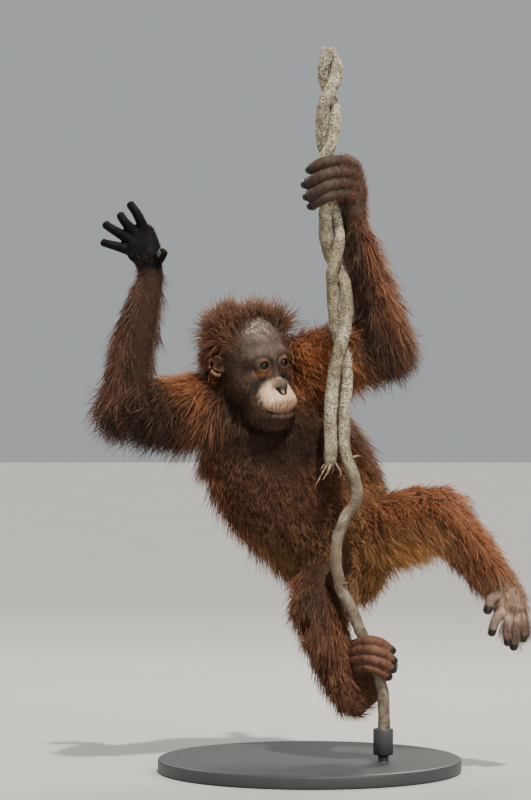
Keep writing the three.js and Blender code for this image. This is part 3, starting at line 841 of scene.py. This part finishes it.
def hair_tints(points, normals, local, share, chance):
    """Root, middle and tip colour of every tuft: the kinds mix by place, and part of them by chance; some
    places carry painted sunlight, glow and shade.
    """
    x, y, z = points.T
    nx, ny, nz = normals.T
    body = 1 - share["head"]
    left_leg = share["thigh_left"] + share["shank_left"]
    amounts = [
        ("maroon", np.ones(len(points))),
        ("orange", 4.5 * share["upper_arm_left"] * smooth(-x, -80, -20)
         + 1.6 * share["upper_arm_right"] * smooth(x, -175, -135)
         + 1.4 * share["trunk"] * smooth(x - (z - 400) * 0.2, 10, 70)
         + 1.6 * left_leg + 0.4 * share["forearm_left"]
         + share["head"] * (1.2 * smooth(-local[:, 0], 5, 40) + 0.5) + 0.8 * smooth(ny, 0.1, 0.8) + 0.35),
        ("golden", 1.2 * share["trunk"] * smooth(-z, -340, -290)
         + 1.6 * share["trunk"] * smooth(x, 15, 60) * smooth(-z, -430, -380)
         # Painted light: golden on the underside of the left thigh, for light shining through the hair from
         # behind.
         + 7.0 * share["thigh_left"] * smooth(-nz, -0.1, 0.5)
         + 1.4 * share["foot_left"] * smooth(z, 190, 215)
         + 0.9 * share["thigh_right"] * smooth(nx, 0.2, 0.8)
         + 0.5 * smooth(ripple(points, 40, 24), 0.6, 1.5)),
        # Painted sunlight: this lighter kind goes on both shoulders and on the upward sides of the left leg
        # and the right upper arm.
        ("bright", 7.0 * share["upper_arm_left"] * smooth(-x, -75, -20)
         + 3.0 * share["trunk"] * spot(points, (0, 30, 500), (45, 60, 40), 0.6)
         + 1.6 * left_leg * smooth(nz, -0.2, 0.6)
         + 2.0 * share["upper_arm_right"] * smooth(nz, 0.3, 0.8) * smooth(x, -215, -150)
         + 2.5 * body * spot(points, (-150, 0, 525), (30, 60, 40), 0.6)),
        # Painted shadow of the chin: the first three dark terms darken the upper chest, the front of the
        # neck and the hair just under the chin.
        ("dark", 7.0 * share["trunk"] * spot(points, (-42, -14, 458), (56, 60, 44), 0.5)
         + 6.0 * share["neck"] * smooth(-ny, 0.1, 0.7)
         + 14.0 * body * spot(points, (-34, -30, 442), (42, 70, 28), 0.5)
         + 3.0 * body * spot(points, (-98, -5, 490), (34, 55, 50), 0.6)
         + share["head"] * (0.7 + 1.3 * smooth(local[:, 2], 26, 50)) + 1.3 * share["forearm_right"]
         # Painted shade: the underside of the right upper arm and its lower half by the elbow.
         + 3.5 * share["upper_arm_right"] * smooth(-nz, 0.0, 0.6)
         + 16.0 * share["upper_arm_right"] * spot(points, (-200, -45, 472), (50, 60, 34), 0.5)
         + 3.0 * share["forearm_left"] * smooth(-0.9 * nx - 0.42 * ny, 0.1, 0.6)
         + 4.0 * share["forearm_left"] * smooth(-0.5 * nx - 0.86 * ny, 0.4, 0.9)
         # Painted shade: the underside of the left upper arm towards the elbow.
         + 7.0 * share["upper_arm_left"] * smooth(x, 45, 80) * smooth(-nz, -0.5, 0.1)
         + 1.6 * share["thigh_right"] * smooth(-ny, 0.1, 0.7)
         + 1.2 * share["forearm_right"] * smooth(0.75 * nx - 0.66 * ny, 0.1, 0.6)
         + 4.0 * share["foot_left"] * smooth(-z, -208, -190)),
        ("grey", 2.6 * share["head"] * smooth(local[:, 0], 8, 34) * smooth(-local[:, 2], -50, -36)
         * smooth(-local[:, 1], -36, -12)),
        ("pale", 7.0 * share["head"] * spot(local, (50, -8, 26), (26, 27, 22), 0.5)
         * smooth(-local[:, 2], -54, -42) + share["foot_left"])]
    total = sum(amount for _, amount in amounts)
    shades = np.array([SHADES[kind] for kind, _ in amounts])
    order = np.cumsum([amount / total for _, amount in amounts], axis=0)
    pick = (chance[None, :] > order).sum(0).clip(0, len(shades) - 1)
    mixed = sum((amount / total)[:, None, None] * shade for shade, (_, amount) in zip(shades, amounts))
    speckle = 0.35 + 0.4 * share["head"] * spot(local, (46, -4, 34), (40, 44, 34), 0.4)
    speckle = speckle[:, None, None]
    return (1 - speckle) * mixed + speckle * shades[pick]


def unwrap(points, share):
    """Which limb a root is on, and its turn and its place along that limb, from 0 to 1."""
    names = list(share)
    owner = np.argmax([share[name] for name in names], axis=0)
    across = np.zeros(len(points))
    along = np.zeros(len(points))
    for i, name in enumerate(names):
        mine = owner == i
        if not mine.any():
            continue
        if name == "head":
            local = (points[mine] - HEAD_MIDDLE) @ HEAD.T
            across[mine] = np.arctan2(local[:, 1], local[:, 0]) / (2 * math.pi) + 0.5
            along[mine] = (local[:, 2] + 95) / 160
        else:
            t, turned, _ = limbs[name].trace(points[mine])
            across[mine] = turned / (2 * math.pi) + 0.5
            along[mine] = t
    return owner, across, np.clip(along, 0, 1)


# Roots are strewn over the skin, thinned out to each limb's density, and given a length, a lift off
# the skin and a way to lie.
dice = np.random.default_rng(5)
corner_points = skin_points[skin_triangles]
sides = np.cross(corner_points[:, 1] - corner_points[:, 0], corner_points[:, 2] - corner_points[:, 0])
areas = 0.5 * np.linalg.norm(sides, axis=1)
densest = max(density for _, density, _ in COATS.values())
source = np.repeat(np.arange(len(skin_triangles)), dice.poisson(areas * densest))
r1, r2 = np.sqrt(dice.random(len(source))), dice.random(len(source))
parts_of = np.stack([1 - r1, r1 * (1 - r2), r1 * r2], 1)
roots = np.einsum("ij,ijk->ik", parts_of, corner_points[source])
root_normals = unit(np.einsum("ij,ijk->ik", parts_of, skin_normals[skin_triangles[source]]))
root_share = belonging(roots)
root_local = (roots - HEAD_MIDDLE) @ HEAD.T
keep, trim = bare_places(roots, root_normals, root_local, root_share)
density = sum(root_share[name] * coat[1] for name, coat in COATS.items())
chosen = dice.random(len(roots)) < keep * density / densest
roots, root_normals, root_local, trim = roots[chosen], root_normals[chosen], root_local[chosen], trim[chosen]
root_share = {name: row[chosen] for name, row in root_share.items()}
count = len(roots)

length = sum(root_share[name] * coat[0] for name, coat in COATS.items()) * trim
# The crown: fuller over the far ear and at its back left, shorter over the brow and the nape.
for place, half, more in (((12, 38, 28), (34, 26, 24), 0.5), ((14, 0, 50), (36, 30, 26), -0.45),
                          ((-18, -26, 46), (24, 22, 24), 0.35), ((-48, -24, 20), (30, 40, 36), -0.5)):
    length *= 1 + more * root_share["head"] * spot(root_local, place, half, 0.6)
length *= dice.uniform(0.72, 1.18, count) * (1 + 0.12 * ripple(roots, 26, 18))
lift = sum(root_share[name] * coat[2] for name, coat in COATS.items())
flow = np.zeros((count, 3))
for name, limb in limbs.items():
    strong = root_share[name] > 0.01
    way = -1 if "forearm" in name else 1   # the hair of the forearm runs back to the elbow
    flow[strong] += way * root_share[name][strong, None] * limb.trace(roots[strong])[2]
away = (root_local - FACE_CENTRE) * (0.75, 1.15, 1.0)
away[:, 2] -= 12 * smooth(-root_local[:, 2], -10, 30)
flow += root_share["head"][:, None] * (unit(away) @ HEAD)
crown = root_share["head"] * smooth(root_local[:, 2], 15, 45) * smooth(-root_local[:, 0], -50, -30)
chest = root_share["trunk"] * smooth(-root_normals[:, 1], 0.1, 0.8)
lift = lift + 26 * crown + 14 * chest


def swirl(length, first, apart=6):
    """Three ripples at every root, as one vector."""
    return np.stack([ripple(roots, length, first + apart * k) for k in range(3)], 1)


DOWN = np.array([0, 0, -1.0])
flow += DOWN * (0.35 * (1 - crown))[:, None] + 0.28 * swirl(34, 0) + 0.16 * swirl(12, 3)
flow += (0.31 + 0.25 * chest)[:, None] * dice.normal(size=(count, 3))
flow = unit(flow - root_normals * np.sum(flow * root_normals, 1)[:, None])
lift = np.radians(np.clip(lift + 3 + dice.normal(0, 9, count) + 5 * ripple(roots, 18, 2), 6, 75))
heading = flow * np.cos(lift)[:, None] + root_normals * np.sin(lift)[:, None]
droop = 0.26 * (1 - 0.9 * crown) * smooth(length, 12, 40)
bend = DOWN * droop[:, None] + 0.14 * swirl(15, 4) - root_normals * 0.10
SPINE = np.array([0.0, 0.42, 0.78, 1.0])   # where the tuft has its rings and its tip
spine = np.stack([roots + length[:, None] * (heading * t + bend * t * t) for t in SPINE], 1)
spine[:, 0] -= root_normals * 0.6

# Neighbouring tufts lean together at their tips, in locks.
for cell, pull in ((6.0, 0.08), (15.0, 0.03)):
    boxes = np.floor((roots + 3.0 * swirl(20, 1)) / cell).astype(np.int64)
    _, lock = np.unique(boxes @ np.array([1, 4096, 4096 ** 2]), return_inverse=True)
    held = np.bincount(lock).astype(float)
    mean = np.stack([np.bincount(lock, spine[:, 3, k]) for k in range(3)], 1) / held[:, None]
    gap = mean[lock] - spine[:, 3]
    gap *= np.minimum(1, 0.35 * length / (np.linalg.norm(gap, axis=1) + 1e-9))[:, None]
    spine += pull * gap[:, None] * (SPINE ** 2)[:, None]

tints = hair_tints(roots, root_normals, root_local, root_share, dice.random(count))
tints *= (dice.uniform(0.72, 1.28, count) * (1 + 0.12 * ripple(roots, 16, 9)))[:, None, None]
# Painted light: a glow on the underside of the left thigh, for light through the hair, and a lighter left
# shoulder, for sunlight.
tints *= (1 + 0.8 * root_share["thigh_left"] * smooth(-root_normals[:, 2], -0.1, 0.5))[:, None, None]
tints *= (1 + 0.35 * root_share["upper_arm_left"] * smooth(-roots[:, 0], -50, -20))[:, None, None]
owner, across_turn, along_limb = unwrap(roots, root_share)
limb_names = list(root_share)

coat_finish = Finish("coat", Roughness=0.5, Specular_IOR_Level=0.28, Sheen_Weight=0.15,
                     Sheen_Roughness=0.4, Sheen_Tint=(1.0, 0.72, 0.5, 1))
coat_paint = coat_finish.paint()
streaks = coat_finish.noise(260.0, 2.0, 0.5)
coat_finish.colour(coat_finish.mix(streaks * 0.35, coat_paint, (0.05, 0.02, 0.012, 1)))
coat_finish.roughness(streaks * 0.25 + 0.40)

THICKNESS = np.array([0.36, 0.34, 0.22])
PIECES = {"head": ("head",), "trunk": ("trunk", "neck"),
          "arm_right": ("upper_arm_right", "forearm_right", "palm_right"),
          "arm_left": ("upper_arm_left", "forearm_left", "palm_left"),
          "leg_right": ("thigh_right", "shank_right", "foot_right"),
          "leg_left": ("thigh_left", "shank_left", "foot_left")}
MOST_TUFTS = 12000
TRIANGLES = [(0, 2, 1)]
for ring in (0, 3):
    for i, j in ((0, 1), (1, 2), (2, 0)):
        TRIANGLES += [(ring + i, ring + j, ring + 3 + j), (ring + i, ring + 3 + j, ring + 3 + i)]
TRIANGLES = np.array([*TRIANGLES, (6, 7, 9), (7, 8, 9), (8, 6, 9)])


def tuft_mesh(name, chosen, columns):
    """Three-sided tufts that taper to a point, closed at the root, all in one mesh."""
    line = spine[chosen]
    total = len(line)
    way = unit(line[:, 3] - line[:, 0])
    first = unit(np.cross(way, root_normals[chosen]))
    second = np.cross(way, first)
    girth = np.clip(length[chosen] / 30, 0.42, 1.0) * girths[chosen]
    points, colours, uv = np.zeros((total, 10, 3)), np.zeros((total, 10, 3)), np.zeros((total, 10, 2))
    place = np.stack([(columns[owner[chosen]] + 0.02 + 0.96 * across_turn[chosen]) / (columns.max() + 1),
                      0.004 + 0.99 * along_limb[chosen]], 1)
    root_tint, middle_tint, tip_tint = tints[chosen].transpose(1, 0, 2)
    shades = (root_tint, 0.5 * root_tint + 0.75 * middle_tint, 0.5 * (middle_tint + tip_tint))
    for ring, shade in enumerate(shades):
        for i in range(3):
            angle = 2 * math.pi * i / 3
            arm = first * math.cos(angle) + second * math.sin(angle)
            k = 3 * ring + i
            points[:, k] = line[:, ring] + arm * (THICKNESS[ring] * girth)[:, None]
            colours[:, k] = shade
            uv[:, k] = place + np.array([0.0014 * (i - 1), 0.003 * SPINE[ring] - 0.0015])
    points[:, 9] = line[:, 3]
    colours[:, 9] = tip_tint
    uv[:, 9] = place + np.array([0, 0.0015])
    faces = (TRIANGLES[None] + 10 * np.arange(total)[:, None, None]).reshape(-1, 3)
    made = mesh_object(name, points.reshape(-1, 3) * MM, faces, coat_finish)
    painted(made, colours.reshape(-1, 3))
    layer = made.data.uv_layers.new(name="OFBake")
    layer.data.foreach_set("uv", np.clip(uv, 0, 1).reshape(-1, 2)[faces.ravel()].astype(np.float32).ravel())
    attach(made, "root")
    return made


girths = dice.uniform(0.8, 1.25, count)
for region, members in PIECES.items():
    ids = [limb_names.index(member) for member in members]
    columns = np.zeros(len(limb_names))
    columns[ids] = np.arange(len(ids))
    mine = np.flatnonzero(np.isin(owner, ids))
    mine = mine[np.argsort(owner[mine] + along_limb[mine])]
    for part, chosen in enumerate(np.array_split(mine, math.ceil(len(mine) / MOST_TUFTS))):
        piece = tuft_mesh(f"coat_{region}_{part + 1}", chosen, columns)

# Eyes.
# Each ball is nearly black: a dark brown iris, a black pupil and a thin dark brown white.

eye_finish = Finish("eye", Roughness=0.10, Specular_IOR_Level=0.0, Coat_Weight=0.6, Coat_Roughness=0.03)
eye_finish.colour(eye_finish.paint())
AROUND, ROWS = 48, 32


def ring_faces(rows, around):
    """Triangles of a closed stack of rings whose two poles are its last points."""
    i = np.arange(around)
    j = (i + 1) % around
    faces = [np.stack([0 * i + rows * around, j, i], 1)]
    for base in range(0, (rows - 1) * around, around):
        a, b, c, d = base + i, base + j, base + around + j, base + around + i
        faces += [np.stack([a, b, c], 1), np.stack([a, c, d], 1)]
    end = (rows - 1) * around
    faces.append(np.stack([0 * i + rows * around + 1, end + i, end + j], 1))
    return np.vstack(faces)


for side_name, place in EYE_PLACES.items():
    way = 1 if side_name == "left" else -1
    gaze = np.array([math.cos(math.radians(7 * way)), math.sin(math.radians(7 * way)), -0.04]) @ HEAD
    across = unit(np.cross(gaze, HEAD[2]))
    above = np.cross(across, gaze)
    lat = np.linspace(0, math.pi, ROWS + 1)[1:-1]
    lon = np.linspace(0, 2 * math.pi, AROUND, endpoint=False)
    bulge = 1 + 0.05 * np.exp(-(lat / 0.42) ** 2)
    ring_points = [gaze * math.cos(a) * b + (across * np.cos(lon)[:, None] + above * np.sin(lon)[:, None])
                   * math.sin(a) * b for a, b in zip(lat, bulge)]
    points = np.vstack([*ring_points, gaze[None] * 1.05, -gaze[None]]) * EYE_RADIUS + in_head(*place)
    ball = mesh_object("eyeball_" + side_name, points * MM, ring_faces(ROWS - 1, AROUND), eye_finish)
    angles = np.concatenate([np.repeat(lat, AROUND), [0, math.pi]])
    colours = np.tile((0.014, 0.009, 0.007), (len(points), 1))
    colours = blend_in(colours, 1 - smooth(angles, 0.56, 0.64), (0.014, 0.006, 0.003))
    colours = blend_in(colours, 1 - smooth(angles, 0.24, 0.30), (0.002, 0.002, 0.002))
    painted(ball, colours)
    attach(ball, "root")
    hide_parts("eye_" + side_name)

# Nails.
# A curved plate lies on the back of every finger and toe, at its tip.

nail_finish = Finish("nail", Roughness=0.34, Specular_IOR_Level=0.25)
grain = nail_finish.noise(1.0, 3.0, 0.5, nail_finish.stretched((500.0, 500.0, 90.0)))
nail_paint = nail_finish.paint()
nail_finish.colour(nail_finish.mix(grain * 0.8, nail_paint, (0.45, 0.42, 0.40, 1), "MULTIPLY"))
nail_finish.bump(grain, 0.3, 0.0004)
NAIL_BACKS = {"finger_right": (0.05, 0.45, 0.60), "thumb_right": (-0.6, -0.7, 0.4),
              "finger_left": (-0.75, -0.65, 0.1), "thumb_left": (-0.5, 0.8, 0.3),
              "great_toe_right": (0.5, -0.4, -0.7), "toe_right": (0.7, -0.7, 0.1),
              "toe_left": (0.15, -0.95, 0.0)}
nail_points, nail_faces, nail_tints = [], [], []
ACROSS, ALONG = 9, 7
for name, (places, _, tip_radius) in DIGITS.items():
    back = next(np.array(way) for ending, way in NAIL_BACKS.items() if name.endswith(ending))
    tip = np.array(places[-1], float)
    ahead = unit(tip - np.array(places[-2], float))
    back = unit(back - ahead * (back @ ahead))
    side_way = np.cross(ahead, back)
    first = sum(len(block) for block in nail_points)
    for layer in (0.0, 0.8):
        u, v = np.meshgrid(np.linspace(-1, 1, ACROSS), np.linspace(0, 1, ALONG), indexing="ij")
        arch = u * math.radians(48 - 8 * layer)
        reach = (-0.55 + 1.3 * v - 0.14 * u * u) * tip_radius
        height = (tip_radius + 0.75 - layer) * (1 - 0.22 * np.clip(v - 0.45, 0, 1) ** 1.5)
        block = (tip + reach[..., None] * ahead + (height * np.cos(arch))[..., None] * back
                 + (height * np.sin(arch))[..., None] * side_way)
        nail_points.append(block.reshape(-1, 3))
        pale = 0.14 if name.endswith("right") and "toe" not in name else 0.018
        nail_tints.append(np.tile((pale, pale * 0.88, pale * 0.80), (ACROSS * ALONG, 1)))
    under = ACROSS * ALONG
    for i in range(ACROSS - 1):
        for j in range(ALONG - 1):
            a, b = first + i * ALONG + j, first + (i + 1) * ALONG + j
            nail_faces += [(a, b, b + 1, a + 1), (a + under, a + 1 + under, b + 1 + under, b + under)]
    rim = [i * ALONG for i in range(ACROSS)] + [(ACROSS - 1) * ALONG + j for j in range(1, ALONG)]
    rim += [i * ALONG + ALONG - 1 for i in range(ACROSS - 2, -1, -1)] + [j for j in range(ALONG - 2, 0, -1)]
    for a, b in zip(rim, rim[1:] + rim[:1]):
        nail_faces.append((first + a, first + a + under, first + b + under, first + b))
nails = mesh_object("nails", np.vstack(nail_points) * MM, nail_faces, nail_finish)
painted(nails, np.vstack(nail_tints))
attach(nails, "root")

# Liana.
# Two bark-covered strands are wound round each other; the thick one ends broken, with splinters.

TWIST = [(944, 24.5, 8.6, -95), (917, 26, 8.6, 0), (888, 24.5, 8.6, 90), (860, 24.5, 8.6, 175),
         (827, 23, 8.6, 225), (788, 19.5, 8.6, 330), (736, 26, 8.6, 490), (700, 29, 8.6, 545),
         (666, 31.5, 8.6, 630), (637, 37, 8.6, 715), (612, 39, 9.1, 735), (590, 39, 8.8, 760),
         (567, 40, 8.6, 800), (544, 41.5, 8.6, 860), (515, 39.5, 9, 890), (482, 36, 9.2, 895),
         (450, 35.5, 9, 900), (424, 36, 9, 900)]
LOWER_RUN = [(50.5, 406), (56.5, 390), (61, 373), (59, 356), (47, 339.5), (41, 323), (36, 307),
             (33.5, 281), (37.5, 256), (41, 241), (54, 216), (65, 190), (76.5, 161), (90, 129),
             (95, 103), (96, 77), (95, 48)]
PLANE = -55


def wound(phase):
    """Places of one strand of the twist, with a half-way place wherever it turns fast."""
    rows = []
    for row, after in zip(TWIST, TWIST[1:] + [None]):
        rows.append(np.array(row, float))
        if after and abs(after[3] - row[3]) > 50:
            rows.append((np.array(row, float) + after) / 2)
    return [(x + apart * math.cos(math.radians(turned + phase)),
             PLANE - apart * math.sin(math.radians(turned + phase)), z) for z, x, apart, turned in rows]


def tube(places, radii, around, steps, rough=0.0, ridges=0.0, seed=0):
    """A closed tube along a smooth line, with ridges and lumps; the radii run along it."""
    line = curve(np.array(places), steps)
    total = len(line)
    reach = np.interp(np.linspace(0, 1, total), np.linspace(0, 1, len(radii)), radii)
    ways = unit(np.gradient(line, axis=0))
    first = np.cross(ways[0], (0, 1, 0.01))
    points = []
    theta = np.linspace(0, 2 * math.pi, around, endpoint=False)
    for k in range(total):
        first = unit(first - ways[k] * (first @ ways[k]))
        second = np.cross(ways[k], first)
        ring = np.cos(theta)[:, None] * first + np.sin(theta)[:, None] * second
        spots = line[k] + reach[k] * ring
        lumps = rough * ripple(spots, 13, seed) + 0.5 * rough * ripple(spots, 5, seed + 7)
        fins = ridges * np.sin(5 * theta + 0.25 * k) + 0.6 * ridges * np.sin(11 * theta - 0.4 * k)
        points.append(line[k] + (reach[k] + lumps + fins)[:, None] * ring)
    points = np.vstack([*points, line[0] - ways[0] * 0.8, line[-1] + ways[-1] * 0.8])
    return points, ring_faces(total, around)


def joined(pieces):
    points, faces, start = [], [], 0
    for some_points, some_faces in pieces:
        points.append(some_points)
        faces.append(some_faces + start)
        start += len(some_points)
    return np.vstack(points), np.vstack(faces)


bark = Finish("bark", Roughness=0.85, Specular_IOR_Level=0.25)
bark_paint = bark.paint()
fine = bark.noise(330.0, 5.0, 0.65)
specks = bark.noise(430.0, 3.0, 0.6)
crust = bark.noise(55.0, 4.0, 0.6)
BLACK = (0, 0, 0)
dark_specks = bark.ramp(specks, (0.47, BLACK), (0.56, (0.92, 0.92, 0.92)))
pale_crust = bark.ramp(crust, (0.46, BLACK), (0.60, (0.28, 0.28, 0.28)))
stains = bark.ramp(bark.noise(90.0, 3.0, 0.7), (0.40, (0.75, 0.75, 0.75)), (0.52, BLACK))
pale_bark = bark.mix(dark_specks, bark_paint, (0.065, 0.052, 0.036, 1))
pale_bark = bark.mix(pale_crust, pale_bark, (0.56, 0.53, 0.38, 1))
pale_bark = bark.mix(stains, pale_bark, (0.17, 0.125, 0.08, 1))
bark.colour(bark.mix(fine * 0.5, pale_bark, (0.11, 0.085, 0.055, 1)))
bark.bump(fine * 0.7 + specks * 0.6 + crust * 0.5, 0.7, 0.0018)


def bark_colours(points):
    """Olive above, pale where it crosses in front, browner, smoother and darker low down, partly bark colour
    and partly painted shade.
    """
    z = points[:, 2]
    # Low down the bark is darkened: partly its own browner colour, partly painted shade.
    low_shaded_part = 1 - smooth(z, 385, 415)
    brown = (1 - smooth(z, 290, 330)) * smooth(z, 225, 250)
    colours = np.tile((0.38, 0.325, 0.20), (len(points), 1))
    for amount, target in ((0.65 * smooth(ripple(points, 60, 14), -0.1, 0.9), (0.86, 0.79, 0.60)),
                           (0.6 * smooth(z, 720, 800), (0.84, 0.78, 0.58)),
                           (low_shaded_part, (0.16, 0.122, 0.092)),
                           (0.8 * low_shaded_part * smooth(ripple(points, 22, 5), 0.2, 1.3), (0.50, 0.42, 0.35)),
                           (0.7 * brown, (0.17, 0.105, 0.065))):
        colours = blend_in(colours, amount, target)
    return colours


thick_places = [*wound(0), (26.5, PLANE, 412), (25.5, PLANE, 404)]
thick_radii = [8.5] * 30 + [8.9, 8.2, 6.0]
thick_pieces = [tube(thick_places, thick_radii, 28, 5, 0.45, 0.28, 3)]
splinters = [([(25, -57, 409), (18, -60, 398), (6, -62, 376)], 1.7),
             ([(27, -58, 408), (23, -62, 396), (16, -63, 385)], 2.2),
             ([(31, -55, 410), (36, -58, 402), (40, -59, 394), (38, -59, 389)], 1.4),
             ([(21, -54, 408), (16, -55, 402), (13, -54, 397)], 1.2),
             ([(29, -52, 408), (30, -52, 398), (27, -51, 391)], 1.2)]
for places, thick in splinters:
    thick_pieces.append(tube(places, [thick, thick * 0.75, 0.25], 8, 5))
thick_points, thick_faces = joined(thick_pieces)
thick_strand = mesh_object("liana_thick", thick_points * MM, thick_faces, bark)
colours = bark_colours(thick_points)
broken = np.arange(len(thick_points)) >= len(thick_pieces[0][0])
colours[broken] = (0.52, 0.34, 0.19)
painted(thick_strand, colours)

long_places = [*wound(180), *[(x, PLANE, z) for x, z in LOWER_RUN]]
long_pieces = [tube(long_places, [7.7, 7.6, 7.7, 7.5, 7.6], 28, 5, 0.40, 0.22, 9),
               tube([(55, -56, 414), (60, -57, 416), (66, -57, 416)], [2.2, 1.6, 0.4], 8, 5),
               tube([(41, -60, 250), (46, -63, 251), (49, -64, 252)], [2.6, 2.0, 0.8], 8, 5)]
long_points, long_faces = joined(long_pieces)
long_strand = mesh_object("liana_long", long_points * MM, long_faces, bark)
painted(long_strand, bark_colours(long_points))
for strand, node in ((thick_strand, "perch_liana_thick_strand"), (long_strand, "perch_liana_long_strand")):
    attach(strand, "root")
    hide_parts(node)

# Stand.
# A plain dark disc, rod and collar hold the lower end of the liana.

paint = Finish("stand_paint", Roughness=0.45, Specular_IOR_Level=0.4)
dust = paint.noise(60.0, 5.0, 0.6)
paint.colour(paint.mix(dust, (0.035, 0.036, 0.038, 1), (0.050, 0.051, 0.053, 1)))
paint.roughness(dust * 0.25 + 0.35)
paint.bump(paint.noise(700.0, 2.0), 0.12, 0.0003)


def lathe(name, middle, outline, around, node):
    """A turned solid from (radius, height) rows that start and end on its axis."""
    theta = np.linspace(0, 2 * math.pi, around, endpoint=False)
    rows = outline[1:-1]
    points = [(middle[0] + r * math.cos(t), middle[1] + r * math.sin(t), z) for r, z in rows for t in theta]
    points += [(*middle, outline[0][1]), (*middle, outline[-1][1])]
    faces = ring_faces(len(rows), around)
    made = mesh_object(name, np.array(points) * MM, faces, paint)
    made.data.polygons.foreach_set("use_smooth", np.abs([p.normal[2] for p in made.data.polygons]) < 0.2)
    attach(made, "root")
    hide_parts(node)


ROD = (95, PLANE)
lathe("base_disc", (0, 0), [(0, 0), (196.5, 0), (199.2, 1.2), (200, 3.4), (200, 14.6), (199.2, 16.8),
                            (197, 18), (190, 18), (0, 18)], 128, "stand_base")
lathe("collar", ROD, [(0, 28), (11.8, 28), (13, 29.2), (13, 60.8), (12.4, 61.8), (11.4, 62), (0, 62)],
      64, "stand_collar")
lathe("rod", ROD, [(0, 17), (9.5, 17), (9.5, 18.6), (8, 19.4), (7, 21), (7, 29), (0, 29)], 48, "stand_rod")
